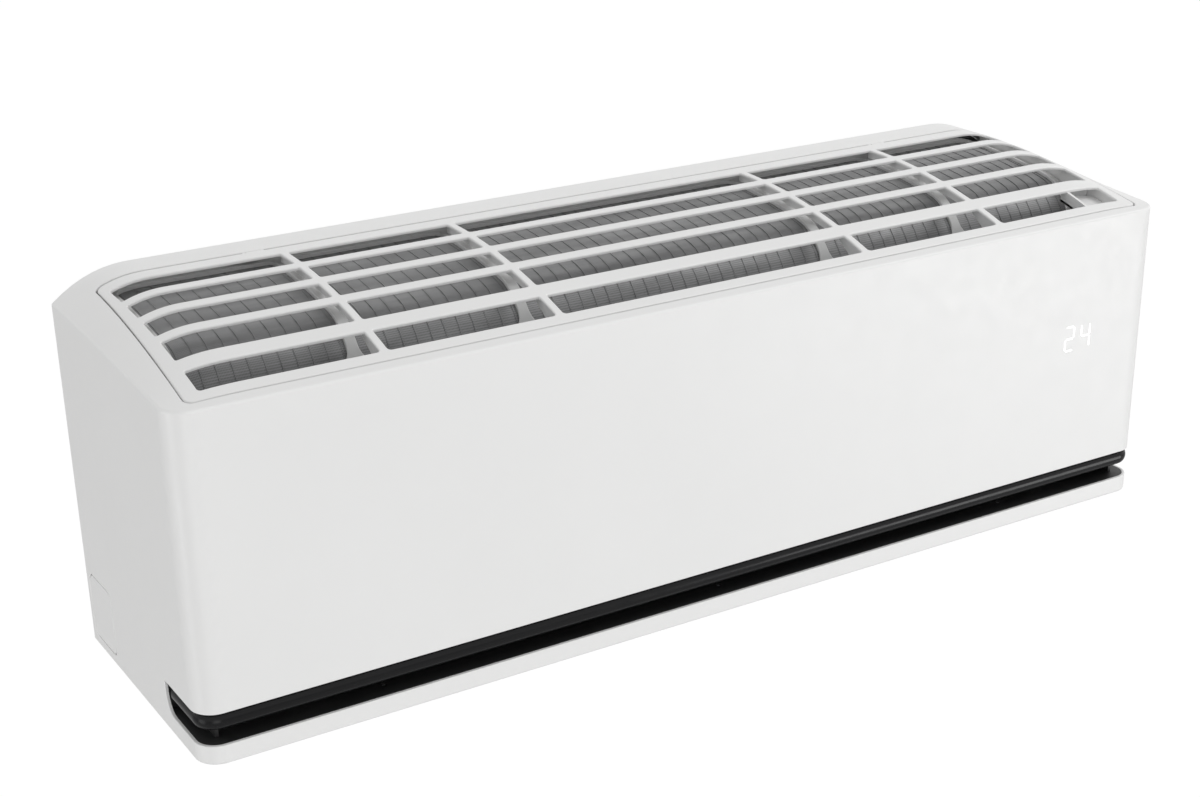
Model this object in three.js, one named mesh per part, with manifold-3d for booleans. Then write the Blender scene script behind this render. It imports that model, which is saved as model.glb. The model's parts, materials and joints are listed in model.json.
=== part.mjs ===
// Mini split indoor unit: casing, intake grille, coil, crossflow fan, outlet vanes and wall plate.
// Millimetres. X runs along the unit and Z is up. The wall is the plane y = 0, and "depth" is the
// distance from the wall to the front, so y = -depth. z = 0 is the underside until the last group
// moves the origin to the middle of the wall plate.
import * as THREE from "three";
import { mergeVertices } from "three/addons/utils/BufferGeometryUtils.js";
import Module from "manifold-3d";

const wasm = await Module();
wasm.setup();

// ---------------------------------------------------------------- driving dimensions
const GAP = 0.3; // seat between pieces that touch
const RUNNING_GAP = 0.4; // round a pin in its hole

// casing
const WIDTH = 895;
const DEPTH = 235;
const CROWN_Z = 300; // top of the casing, middle of its rear
const SIDE_TOP_REAR_Z = 277; // top edge of an end face, at the wall
const FRONT_TOP_Z = 264; // top edge of the front face
const SIDE_FALL_POWER = 1.35; // how the end face's top edge falls to the front
const BEVEL_LENGTH = 62; // length of the fall from the crown to an end face
const BEVEL_POWER = 2.2;
const CROWN_FLAT_DEPTH = 35; // the top is level from the wall to here
const CORNER_RADIUS = 18; // vertical front corners
const WALL = 2.5;
const CURVE_STEPS = 2; // lines in each rounded corner of a cut or plate
const CORNER_STEPS = 5;
const BEVEL_STEPS = 4;
const TOP_STEPS = 6;

// intake grille, in its own seam in the top
const SEAM_FRONT_DEPTH = DEPTH - 9;
const SEAM_FRONT_Z = 267;
const SEAM_REAR_DEPTH = 29.7;
const SEAM_HALF_REAR = WIDTH / 2 - 23.5;
const SEAM_HALF_FRONT = SEAM_HALF_REAR + 7;
const SEAM_CORNER = 10;
const SEAM_GAP = 0.8;
const GRILLE_SKIN = 4;
const INTAKE_REAR_DEPTH = 47.5;
const INTAKE_FRONT_DEPTH = SEAM_FRONT_DEPTH - 11;
const INTAKE_HALF = SEAM_HALF_REAR - 6.5;
// each long bar's width, and where its middle lies between the intake's rear and front
const BARS = [
  { share: 0.182, width: 9.5 },
  { share: 0.379, width: 9.5 },
  { share: 0.576, width: 9.5 },
  { share: 0.809, width: 14.5 },
].map(({ share, width }) => ({
  middle: INTAKE_REAR_DEPTH + share * (INTAKE_FRONT_DEPTH - INTAKE_REAR_DEPTH),
  width,
}));
const RIB_PITCH = 141;
const CROSS_RIBS = [-2, -1, 1, 2].map((place) => place * RIB_PITCH);
const CROSS_RIB_WIDTH = 6.5;
const CROSS_RIB_DROP = 8;
const HINGE_DEPTH = 31.5;
const HINGE_BELOW_CROWN = 1.5;
const HINGE_RADIUS = 1.5;
const HINGE_PIN_RADIUS = 0.6;
const HINGE_X = 300;
const HINGE_CUT = 10; // cuts round the hinge reach this far above and below the crown
const KNUCKLE_LENGTH = 12;
const FLANGE_WALL = 2.5;
const GRILLE_LEDGE_DROP = GRILLE_SKIN + GAP;

// filter, clipped under the grille: it slopes a little, then curves down in front of the coil
const FILTER_DROP = 9;
const FILTER_SLOPE = 0.03;
const FILTER_CURVE = 0.022;
const FILTER_FRAME = 3;
const FILTER_NET = 0.9;
const FILTER_BORDER = 9;
const FILTER_STRUT = 9;
const FILTER_LEFT = -INTAKE_HALF - 1.2;
const FILTER_RIGHT = INTAKE_HALF + 1.2;
const FILTER_REAR_DEPTH = INTAKE_REAR_DEPTH - 23.5;
const FILTER_FRONT_DEPTH = DEPTH - 59;
const FILTER_CURVE_DEPTH = FILTER_FRONT_DEPTH - 41;
const FILTER_STEPS = 12;
const HOLDER_SPANS = [ // depths of the clips that hold it
  [INTAKE_REAR_DEPTH - 9.5, INTAKE_REAR_DEPTH - 1.5],
  [FILTER_FRONT_DEPTH - 26, FILTER_FRONT_DEPTH],
];
const POCKET_DROP = 11; // floor of the small pocket at the front row's right end
const POCKET_LENGTH = 36.2;

// crossflow fan
const FAN_AXIS = [DEPTH / 2 + 0.5, 122]; // depth, z
const FAN_RADIUS = 49;
const FAN_HALF = WIDTH / 2 - 112.5;
const FAN_BLADES = 18;
const FAN_SHAFT_RADIUS = 4;
const MOTOR_RADIUS = 43;
const MOTOR_X = FAN_HALF + 13;
const MOTOR_LENGTH = 54;
const BEARING_RADIUS = 9;
const BUSH_RADIUS = 16;

// outlet slot, chin and duct
const SLOT_BOTTOM_Z = 15;
const SLOT_TOP_Z = 40;
const SLOT_REAR_DEPTH = DEPTH - 69;
const SLOT_REAR_RADIUS = 15;
const CHIN_WALL = 2.5;
const CHIN_REAR_DEPTH = DEPTH - 32;
const DUCT_FLOOR_Z = 12.5;
const DUCT_WALL = 2.5;
// depth and z of the duct's ceiling, beside the fan and at the slot
const CEILING_REAR = [FAN_AXIS[0] + FAN_RADIUS + 1, 91.7];
const CEILING_FRONT = [DEPTH - 6, SLOT_TOP_Z + 6];
const CHEEK_X = WIDTH / 2 - 17.5;
const CEILING_HALF = CHEEK_X - 54;

// upper vane: a band in the slot, on five arms
const VANE_LOW_Z = 26;
const VANE_HIGH_Z = 39.2;
const VANE_BULGE = 5;
const VANE_INSET = 0.8;
const VANE_THICKNESS = 7;
const VANE_REAR_DEPTH = SLOT_REAR_DEPTH + 10;
const VANE_PIVOT = [CEILING_REAR[0] + 2, SLOT_TOP_Z + 2];
const VANE_PIN_RADIUS = 2;
const ARM_WIDTH = 3;

// lower vane: closes the opening in the underside
const LOWER_OPENING_REAR = FAN_AXIS[0] + 14;
const LOWER_OPENING_HALF = FAN_HALF + 5;
const LOWER_VANE_GAP = 1.5;
const LOWER_VANE_THICKNESS = 3.5;
const LOWER_PIVOT = [LOWER_OPENING_REAR + 14, 16];
const LOWER_PIN_RADIUS = 2.2;

// louvers: upright blades that steer the air left and right
const LOUVER_FIRST_X = 26;
const LOUVERS = 5;
const CRANK_X = CEILING_HALF - 40;
const LOUVER_PITCH = (CRANK_X - LOUVER_FIRST_X) / LOUVERS;
const LOUVER_DEPTH = CEILING_REAR[0] + 14;
const LOUVER_TIE_DEPTH = LOUVER_DEPTH + 16;
const LOUVER_REAR = LOUVER_DEPTH - 10;
const LOUVER_FRONT = LOUVER_DEPTH + 20;
const LOUVER_LOW_Z = SLOT_TOP_Z + 8;
const LOUVER_TOP_GAP = 3.5;
const LOUVER_THICKNESS = 1.6;
const TIE_LOW_Z = LOUVER_LOW_Z - 4;
const TIE_HEIGHT = 3;
const LOUVER_PIN_RADIUS = 1.8;
const TIE_PIN_RADIUS = 1.2;
const TIE_WIDTH = 5;
const OUTER_ARM = CEILING_HALF - 7;
const INNER_ARM = LOUVER_FIRST_X + 2.5 * LOUVER_PITCH; // between two louvers
const VANE_ARMS = [-OUTER_ARM, -INNER_ARM, 0, INNER_ARM, OUTER_ARM];

// chassis
const BACK_DEPTH = 10;
const CHASSIS_WALL = 3;
const CASE_CLEARANCE = 0.8;
const END_WALL_X = FAN_HALF + 8;
const RECESS_DEPTH = 55; // space for pipes along the bottom of the back
const RECESS_TOP_Z = 81;
const TROUGH_Z = 148;
const SCROLL_TIP = [LOWER_OPENING_REAR - 3, 5.8];
const SCROLL_WALL = 2.5;

// coil
const COIL_HALF = END_WALL_X - 10;
const COIL_THICKNESS = 22;
const COIL_PLATE = 1.5;
const REAR_SLAB = [[24, 158], [100, CROWN_Z - 54]];
const FRONT_SLAB = [[112, CROWN_Z - 50], [DEPTH - 37, 180]];
const LOWER_SLAB = [[DEPTH - 31, 176], [DEPTH - 31, 70]];
const BEND_RADIUS = 11;
const BEND_PITCH = 30;
const TUBE_RADIUS = 3.5;
const GAS_RADIUS = 8; // over its foam
const LIQUID_RADIUS = 6;
const HOSE_RADIUS = 7.5;

// drain pan
const PAN_REAR = DEPTH - 51;
const PAN_FRONT = DEPTH - 14;
const PAN_TOP_Z = 98;
const PAN_WALL = 2.5;
const SPOUT = [PAN_REAR + 16, 86]; // depth, z of the pan's outlet
const SPOUT_RADIUS = 6;

// wall plate
const PLATE_HALF = 330;
const PLATE_LOW_Z = 45;
const PLATE_HIGH_Z = 265;
const PLATE_SHEET = 1.5;
const HOOK_X = 200;
const HOOK_HALF = 15;
const HOOK_Z = 248;
const HOOK_REACH = 20;
const HOOK_TIP = 10;

// break-out plates in the ends, at the rear bottom
const KNOCKOUT = { rear: 6, front: 56, low: 8, high: 62, radius: 8 };
const KNOCKOUT_GAP = 0.4;
const KNOCKOUT_CLIP = { half: 6, thickness: 2, hook: 2, stem: 2.5 };

// electrics
const BOX = {
  x0: MOTOR_X + 4, x1: WIDTH / 2 - 11.5, low: 96, high: 212, wall: 2,
  rear: FAN_AXIS[0] + MOTOR_RADIUS + 11,
  front: SEAM_FRONT_DEPTH,
};
const DISPLAY = { x0: WIDTH / 2 - 109.5, x1: WIDTH / 2 - 61.5, low: 144, high: 180 };
const BUTTON = { x: WIDTH / 2 - 23.5, behindSlot: 16, radius: 4, top: 9 };
const BUTTON_DEPTH = SLOT_REAR_DEPTH - BUTTON.behindSlot;

// screws in the chin
const SCREW_XS = [-300, 0, 300];
const SCREW_DEPTH = DEPTH - 18;
const SCREW_RADIUS = 1.6;
const SCREW_HEAD_RADIUS = 3.3;

const HALF = WIDTH / 2;

// ---------------------------------------------------------------- shapes and solids
const vec = (x, y, z) => new THREE.Vector3(x, y, z);

function solidFrom(geometry) {
  const bare = geometry.clone();
  bare.deleteAttribute("normal");
  bare.deleteAttribute("uv");
  const merged = mergeVertices(bare, 1e-4);
  return new wasm.Manifold(
    new wasm.Mesh({
      numProp: 3,
      vertProperties: new Float32Array(merged.attributes.position.array),
      triVerts: new Uint32Array(merged.index.array),
    }),
  );
}

function geometryFrom(solid) {
  const mesh = solid.getMesh();
  const geometry = new THREE.BufferGeometry();
  geometry.setAttribute("position", new THREE.BufferAttribute(Float32Array.from(mesh.vertProperties), 3));
  geometry.setIndex(new THREE.BufferAttribute(Uint32Array.from(mesh.triVerts), 1));
  geometry.computeVertexNormals();
  return geometry;
}

const union = (...solids) => solids.flat().reduce((all, one) => all.add(one));
const cut = (solid, ...tools) => tools.flat().reduce((left, tool) => left.subtract(tool), solid);
const mirrored = (solid) => solid.mirror([1, 0, 0]);

const polygon = (points) => new THREE.Shape(points.map(([a, b]) => new THREE.Vector2(a, b)));

function disc(a, b, radius, sides = 16) {
  const points = [];
  for (let k = 0; k < sides; k++) {
    const turn = (2 * Math.PI * k) / sides;
    points.push([a + radius * Math.cos(turn), b + radius * Math.sin(turn)]);
  }
  return polygon(points);
}

// a polygon whose corners are rounded by one radius
function rounded(points, radius) {
  const shape = new THREE.Shape();
  const corners = points.map(([a, b]) => new THREE.Vector2(a, b));
  corners.forEach((corner, k) => {
    const before = corners[(k + corners.length - 1) % corners.length];
    const after = corners[(k + 1) % corners.length];
    const start = corner.clone().add(before.clone().sub(corner).setLength(radius));
    const end = corner.clone().add(after.clone().sub(corner).setLength(radius));
    if (k === 0) shape.moveTo(start.x, start.y);
    else shape.lineTo(start.x, start.y);
    shape.quadraticCurveTo(corner.x, corner.y, end.x, end.y);
  });
  shape.closePath();
  return shape;
}

const rectangle = (a0, a1, b0, b1) => [[a0, b0], [a1, b0], [a1, b1], [a0, b1]];
const span = (from, to) => (from < to ? [from, to] : [to, from]);

function extruded(shape, length, across, up, origin) {
  const options = { depth: length, bevelEnabled: false, curveSegments: CURVE_STEPS };
  const geometry = new THREE.ExtrudeGeometry(shape, options);
  const along = new THREE.Vector3().crossVectors(across, up);
  geometry.applyMatrix4(new THREE.Matrix4().makeBasis(across, up, along).setPosition(origin));
  return solidFrom(geometry);
}

// a side profile (depth, z), a plan outline (x, depth) and a front outline (x, z)
const alongX = (shape, x0, x1) =>
  extruded(shape, x1 - x0, vec(0, -1, 0), vec(0, 0, 1), vec(x1, 0, 0));
const upZ = (shape, z0, z1) => extruded(shape, z1 - z0, vec(1, 0, 0), vec(0, -1, 0), vec(0, 0, z1));
const outward = (shape, d0, d1) =>
  extruded(shape, d1 - d0, vec(1, 0, 0), vec(0, 0, 1), vec(0, -d0, 0));

function box(x0, x1, d0, d1, z0, z1) {
  const geometry = new THREE.BoxGeometry(x1 - x0, d1 - d0, z1 - z0);
  geometry.translate((x0 + x1) / 2, -(d0 + d1) / 2, (z0 + z1) / 2);
  return solidFrom(geometry);
}

const rodX = ([depth, z], radius, x0, x1, sides) => alongX(disc(depth, z, radius, sides), x0, x1);
const rodZ = (x, depth, radius, z0, z1, sides) => upZ(disc(x, depth, radius, sides), z0, z1);

// a round tube through points given as (x, depth, z)
function tube(points, radius, sides, steps) {
  const path = new THREE.CatmullRomCurve3(points.map(([x, d, z]) => vec(x, -d, z)));
  const options = { steps, extrudePath: path, bevelEnabled: false };
  return solidFrom(new THREE.ExtrudeGeometry(disc(0, 0, radius, sides), options));
}

// a closed skin over rings of [x, y, z] corners that run from -X to +X
function lofted(rings) {
  const count = rings[0].length;
  const faces = [];
  for (let i = 0; i + 1 < rings.length; i++) {
    for (let j = 0; j < count; j++) {
      const a = i * count + j;
      const b = i * count + ((j + 1) % count);
      faces.push([a, b + count, b], [a, a + count, b + count]);
    }
  }
  const last = (rings.length - 1) * count;
  for (let j = 1; j + 1 < count; j++) faces.push([0, j, j + 1], [last, last + j + 1, last + j]);
  const geometry = new THREE.BufferGeometry();
  geometry.setAttribute("position", new THREE.Float32BufferAttribute(rings.flat(2), 3));
  geometry.setIndex(faces.flat());
  return solidFrom(geometry);
}

// ---------------------------------------------------------------- the casing's form
const CROWN_ARC =
  ((SEAM_FRONT_DEPTH - CROWN_FLAT_DEPTH) ** 2 + (CROWN_Z - SEAM_FRONT_Z) ** 2) /
  (2 * (CROWN_Z - SEAM_FRONT_Z));

// height of the top along the unit's middle
function crownAt(depth) {
  if (depth <= CROWN_FLAT_DEPTH) return CROWN_Z;
  if (depth <= SEAM_FRONT_DEPTH) {
    return CROWN_Z - CROWN_ARC + Math.sqrt(CROWN_ARC ** 2 - (depth - CROWN_FLAT_DEPTH) ** 2);
  }
  const share = (depth - SEAM_FRONT_DEPTH) / (DEPTH - SEAM_FRONT_DEPTH);
  return SEAM_FRONT_Z + (FRONT_TOP_Z - SEAM_FRONT_Z) * share;
}

// height of an end face's top edge
const sideTopAt = (depth) =>
  SIDE_TOP_REAR_Z -
  (SIDE_TOP_REAR_Z - FRONT_TOP_Z) * (Math.max(depth, 0) / DEPTH) ** SIDE_FALL_POWER;

// height of the top anywhere: the crown, falling to the end faces over the bevel
function topAt(x, depth) {
  const share = Math.max(0, 1 - (HALF - Math.abs(x)) / BEVEL_LENGTH);
  return crownAt(depth) - (crownAt(depth) - sideTopAt(depth)) * share ** BEVEL_POWER;
}

// places along one end half: x with the depth of the front face there
function endStations(inset) {
  const end = HALF - inset;
  const radius = CORNER_RADIUS - inset;
  const stations = [];
  for (let k = 0; k <= CORNER_STEPS; k++) {
    const turn = (Math.PI / 2) * (k / CORNER_STEPS);
    stations.push([end - radius + radius * Math.cos(turn), end - radius * (1 - Math.sin(turn))]);
  }
  const corner = end - radius;
  const bevelEnd = HALF - BEVEL_LENGTH;
  for (let k = 1; k <= BEVEL_STEPS; k++) {
    stations.push([corner + ((bevelEnd - corner) * k) / BEVEL_STEPS, end]);
  }
  return stations.map(([x, front]) => [x, front - end + DEPTH - inset]);
}

// The casing's outer form, drawn in by inset at the ends, front and underside. Its top is lowered
// by drop, a length or a function of depth, and its rear stands behind the wall plane by back.
function form(inset, drop = inset, back = 0, steps = TOP_STEPS) {
  const ends = endStations(inset);
  const stations = [...ends, ...ends.map(([x, front]) => [-x, front]).reverse()].reverse();
  const dropAt = typeof drop === "function" ? drop : () => drop;
  const topOf = (x, depth) => topAt(Math.min(Math.abs(x), HALF), depth) - dropAt(depth);
  const rings = stations.map(([x, front]) => {
    const shoulder = front - (DEPTH - SEAM_FRONT_DEPTH);
    const ring = [[-back, inset], [front, inset], [front, topOf(x, front)]];
    for (let k = 0; k <= steps; k++) {
      const depth = shoulder + ((CROWN_FLAT_DEPTH - shoulder) * k) / steps;
      ring.push([depth, topOf(x, depth)]);
    }
    ring.push([-back, topOf(x, 0)]);
    return ring.map(([depth, z]) => [x, -depth, z]);
  });
  return lofted(rings);
}

// the layer that lies from upper to lower below the top
const topLayer = (upper, lower) => cut(form(0, upper), form(-1, lower, 1));

// how far the filter's top lies below the casing's top
function filterDrop(depth) {
  const past = Math.max(0, depth - FILTER_CURVE_DEPTH);
  return FILTER_DROP + FILTER_SLOPE * Math.max(0, depth - INTAKE_REAR_DEPTH) + FILTER_CURVE * past ** 2;
}

const filterLayer = (upper, lower) =>
  cut(
    form(0, (depth) => filterDrop(depth) + upper, 0, FILTER_STEPS),
    form(-1, (depth) => filterDrop(depth) + lower, 1, FILTER_STEPS),
  );

// everything above a plan rectangle, and a cut through the top's rear edge at the hinge
const above = (x0, x1, d0, d1) => box(x0, x1, d0, d1, 0, CROWN_Z + HINGE_CUT);
const hingeCut = (x0, x1, d0, d1) => box(x0, x1, d0, d1, CROWN_Z - HINGE_CUT, CROWN_Z + HINGE_CUT);

// a plan prism with the grille's outline, grown by margin
function seamPrism(margin, rearDepth = SEAM_REAR_DEPTH) {
  const rear = rearDepth - margin;
  const front = SEAM_FRONT_DEPTH + margin;
  const outline = [
    [-SEAM_HALF_REAR - margin, rear],
    [SEAM_HALF_REAR + margin, rear],
    [SEAM_HALF_FRONT + margin, front],
    [-SEAM_HALF_FRONT - margin, front],
  ];
  return upZ(rounded(outline, SEAM_CORNER), CROWN_Z / 2, CROWN_Z + HINGE_CUT);
}

// ---------------------------------------------------------------- casing
const HINGE = [HINGE_DEPTH, CROWN_Z - HINGE_BELOW_CROWN];
const hingeSides = [-HINGE_X, HINGE_X];

// the two lugs beside each grille knuckle
function hingeLugs() {
  const lugs = [];
  for (const middle of hingeSides) {
    for (const side of [-1, 1]) {
      const start = middle + side * (KNUCKLE_LENGTH / 2 + GAP);
      const [x0, x1] = span(start, start + side * FLANGE_WALL);
      const lug = union(
        rodX(HINGE, HINGE_RADIUS, x0, x1, 12),
        box(x0, x1, HINGE_DEPTH - 4, HINGE_DEPTH, HINGE[1] - HINGE_RADIUS, HINGE[1] + HINGE_RADIUS),
      );
      lugs.push(cut(lug, rodX(HINGE, HINGE_PIN_RADIUS + GAP, x0 - 1, x1 + 1, 8)));
    }
  }
  return lugs;
}

function knockoutShape(margin) {
  const { rear, front, low, high, radius } = KNOCKOUT;
  return rounded(rectangle(rear - margin, front + margin, low - margin, high + margin), radius);
}

function slotTool() {
  const shape = new THREE.Shape();
  shape.moveTo(DEPTH + 5, SLOT_BOTTOM_Z);
  shape.lineTo(DEPTH + 5, SLOT_TOP_Z);
  shape.lineTo(SLOT_REAR_DEPTH, SLOT_TOP_Z);
  shape.lineTo(SLOT_REAR_DEPTH, SLOT_BOTTOM_Z + SLOT_REAR_RADIUS);
  shape.quadraticCurveTo(
    SLOT_REAR_DEPTH + 2, SLOT_BOTTOM_Z, SLOT_REAR_DEPTH + SLOT_REAR_RADIUS, SLOT_BOTTOM_Z,
  );
  return alongX(shape, -HALF - 5, HALF + 5);
}

function frontCase() {
  let shell = cut(form(0), form(WALL, WALL, 5), seamPrism(0), slotTool());
  // the chin: a thicker front wall with a rear wall behind it
  const chinFront = cut(form(0), form(CHIN_WALL, 0, 5)).intersect(
    box(-HALF, HALF, SLOT_REAR_DEPTH, DEPTH, 0, SLOT_BOTTOM_Z),
  );
  const chinRear = box(
    -CHEEK_X, CHEEK_X, CHIN_REAR_DEPTH, CHIN_REAR_DEPTH + DUCT_WALL, 1, DUCT_FLOOR_Z - GAP,
  );
  const bosses = SCREW_XS.map((x) => rodZ(x, SCREW_DEPTH, 5, 1, DUCT_FLOOR_Z - GAP, 12));
  // a lip under the seam's front edge carries the grille
  const ledge = topLayer(GRILLE_LEDGE_DROP, GRILLE_LEDGE_DROP + WALL).intersect(
    box(-SEAM_HALF_REAR + 10, SEAM_HALF_REAR - 10, SEAM_FRONT_DEPTH - 7, DEPTH - 1, 0, CROWN_Z),
  );
  shell = union(shell, chinFront.subtract(slotTool()), chinRear, bosses, ledge);
  const screwHoles = SCREW_XS.flatMap((x) => [
    rodZ(x, SCREW_DEPTH, SCREW_RADIUS + RUNNING_GAP, -1, SLOT_BOTTOM_Z, 12),
    rodZ(x, SCREW_DEPTH, SCREW_HEAD_RADIUS + RUNNING_GAP, -1, WALL, 16),
  ]);
  const underside = box(
    -LOWER_OPENING_HALF, LOWER_OPENING_HALF, LOWER_OPENING_REAR, CHIN_REAR_DEPTH, -1, WALL + 1,
  );
  const knockouts = alongX(knockoutShape(0), -HALF - 1, HALF + 1);
  const buttonHole = rodZ(BUTTON.x, BUTTON_DEPTH, BUTTON.radius + GAP, -1, WALL + 1, 16);
  // room for the grille's knuckles in the rear edge of the seam
  const knuckleRoom = hingeSides.map((x) =>
    hingeCut(x - KNUCKLE_LENGTH / 2 - GAP, x + KNUCKLE_LENGTH / 2 + GAP, HINGE_DEPTH - 2.2, HINGE_DEPTH),
  );
  shell = cut(shell, screwHoles, underside, knockouts, buttonHole, knuckleRoom);
  return union(shell, hingeLugs());
}

// a plate in the end wall's hole, clipped behind the wall at its lower and upper edges
function knockoutPlate() {
  const { rear, front, low, high } = KNOCKOUT;
  const { half, thickness, hook, stem } = KNOCKOUT_CLIP;
  const inner = HALF - WALL;
  const middle = (rear + front) / 2;
  const plate = alongX(knockoutShape(-KNOCKOUT_GAP), inner + 0.2, HALF - 0.2);
  const clips = [[low, 1], [high, -1]].flatMap(([edge, inward]) => {
    const reach = (from) => span(edge + inward * from, edge + inward * stem);
    return [
      box(inner - thickness, inner - GAP, middle - half, middle + half, ...reach(-hook)),
      box(inner - thickness, inner + 0.5, middle - half, middle + half, ...reach(0.5)),
    ];
  });
  return union(plate, clips);
}

function caseScrew(x) {
  const head = rodZ(x, SCREW_DEPTH, SCREW_HEAD_RADIUS, GAP, WALL - GAP, 16);
  const shaft = rodZ(x, SCREW_DEPTH, SCREW_RADIUS, 1, DUCT_FLOOR_Z + 2, 10);
  const slot = box(x - 2.4, x + 2.4, SCREW_DEPTH - 0.5, SCREW_DEPTH + 0.5, 0, 1.2);
  const crossSlot = box(x - 0.5, x + 0.5, SCREW_DEPTH - 2.4, SCREW_DEPTH + 2.4, 0, 1.2);
  return cut(union(head, shaft), slot, crossSlot);
}

// ---------------------------------------------------------------- grille and filter
function intakeWindows() {
  const rows = [];
  let start = INTAKE_REAR_DEPTH;
  for (const { middle, width } of BARS) {
    rows.push([start, middle - width / 2]);
    start = middle + width / 2;
  }
  rows.push([start, INTAKE_FRONT_DEPTH]);
  const edges = [-INTAKE_HALF, ...CROSS_RIBS, INTAKE_HALF];
  const windows = [];
  for (let column = 0; column + 1 < edges.length; column++) {
    const x0 = edges[column] + (column === 0 ? 0 : CROSS_RIB_WIDTH / 2);
    const x1 = edges[column + 1] - (column + 2 === edges.length ? 0 : CROSS_RIB_WIDTH / 2);
    for (const [d0, d1] of rows) {
      windows.push(box(x0, x1, d0, d1, CROWN_Z / 2, CROWN_Z + HINGE_CUT));
    }
  }
  return windows;
}

const grilleRearDepth = HINGE_DEPTH + 0.4;

// clips under the grille that hold the filter on small lips, at its two ends
function filterHolders() {
  const under = FILTER_FRAME + FILTER_NET + 2 * GAP;
  const lipDrop = (depth) => filterDrop(depth) + under + 2;
  const wall = cut(form(0, GRILLE_SKIN - 1), form(-1, lipDrop, 1, FILTER_STEPS));
  const lip = filterLayer(under, under + 2);
  return HOLDER_SPANS.flatMap(([d0, d1]) =>
    [[FILTER_LEFT, -1], [FILTER_RIGHT, 1]].map(([end, side]) => {
      const reach = (from, to) => span(end + side * from, end + side * to);
      return union(
        wall.intersect(above(...reach(GAP, GAP + FLANGE_WALL), d0, d1)),
        lip.intersect(above(...reach(-6, GAP + 1), d0, d1)),
      );
    }),
  );
}

// the small closed pocket at the right end of the front row
function intakePocket() {
  const [x0, x1] = [INTAKE_HALF - POCKET_LENGTH, INTAKE_HALF + 2];
  const [d0, d1] = [BARS[BARS.length - 1].middle, INTAKE_FRONT_DEPTH + 2];
  const floor = topLayer(POCKET_DROP, POCKET_DROP + 2).intersect(above(x0, x1, d0, d1));
  const divider = topLayer(GRILLE_SKIN / 2, POCKET_DROP + 2).intersect(
    above(x0, x0 + FLANGE_WALL, d0, d1),
  );
  return union(floor, divider);
}

function topGrille() {
  const skin = topLayer(0, GRILLE_SKIN).intersect(seamPrism(-SEAM_GAP, grilleRearDepth - SEAM_GAP));
  const ribs = CROSS_RIBS.map((x) =>
    topLayer(GRILLE_SKIN - 1, CROSS_RIB_DROP).intersect(
      above(x - 1.5, x + 1.5, INTAKE_REAR_DEPTH - 4, INTAKE_FRONT_DEPTH + 3),
    ),
  );
  const half = KNUCKLE_LENGTH / 2;
  const [knuckleLow, knuckleHigh] = [HINGE[1] - HINGE_RADIUS, HINGE[1] + HINGE_RADIUS];
  const knuckles = hingeSides.map((x) =>
    union(
      rodX(HINGE, HINGE_RADIUS, x - half, x + half, 12),
      box(x - half, x + half, HINGE_DEPTH, HINGE_DEPTH + 2, knuckleLow, knuckleHigh),
    ),
  );
  const lugLength = FLANGE_WALL + 2 * GAP;
  const lugRoom = hingeSides.flatMap((x) =>
    [-1, 1].map((side) => {
      const [x0, x1] = span(x + side * half, x + side * (half + lugLength));
      return hingeCut(x0, x1, HINGE_DEPTH - 3, HINGE_DEPTH + 2);
    }),
  );
  const bored = hingeSides.map((x) =>
    rodX(HINGE, HINGE_PIN_RADIUS + GAP, x - KNUCKLE_LENGTH, x + KNUCKLE_LENGTH, 8),
  );
  const body = cut(union(skin, knuckles), lugRoom, intakeWindows());
  return cut(union(body, ribs, filterHolders(), intakePocket()), bored);
}

function grillePin(x) {
  const half = KNUCKLE_LENGTH / 2 + FLANGE_WALL + 2 * GAP;
  return rodX(HINGE, HINGE_PIN_RADIUS, x - half, x + half, 8);
}

const filterBox = (margin) =>
  above(
    FILTER_LEFT + margin, FILTER_RIGHT - margin,
    FILTER_REAR_DEPTH + margin, FILTER_FRONT_DEPTH - margin,
  );

function filterFrame() {
  const layer = filterLayer(0, FILTER_FRAME);
  const border = layer.intersect(cut(filterBox(0), filterBox(FILTER_BORDER)));
  const half = FILTER_STRUT / 2;
  const struts = CROSS_RIBS.map((x) =>
    layer.intersect(above(x - half, x + half, FILTER_REAR_DEPTH + 1, FILTER_FRONT_DEPTH - 1)),
  );
  return union(border, struts);
}

function filterNet() {
  const upper = FILTER_FRAME + GAP;
  return filterLayer(upper, upper + FILTER_NET).intersect(filterBox(0));
}

// ---------------------------------------------------------------- outlet
const ceilingFall = (CEILING_REAR[1] - CEILING_FRONT[1]) / (CEILING_FRONT[0] - CEILING_REAR[0]);
const ceilingAt = (depth) => CEILING_REAR[1] - ceilingFall * (depth - CEILING_REAR[0]);
const ceilingTopAt = (depth) => ceilingAt(depth) + DUCT_WALL * Math.hypot(1, ceilingFall);

function ceilingStrip(rear, x0, x1) {
  const front = CEILING_FRONT[0];
  const outline = [
    [rear, ceilingAt(rear)], [front, ceilingAt(front)],
    [front, ceilingTopAt(front)], [rear, ceilingTopAt(rear)],
  ];
  return alongX(polygon(outline), x0, x1);
}

const louverXs = Array.from({ length: LOUVERS }, (_, k) => LOUVER_FIRST_X + LOUVER_PITCH * k);

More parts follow.
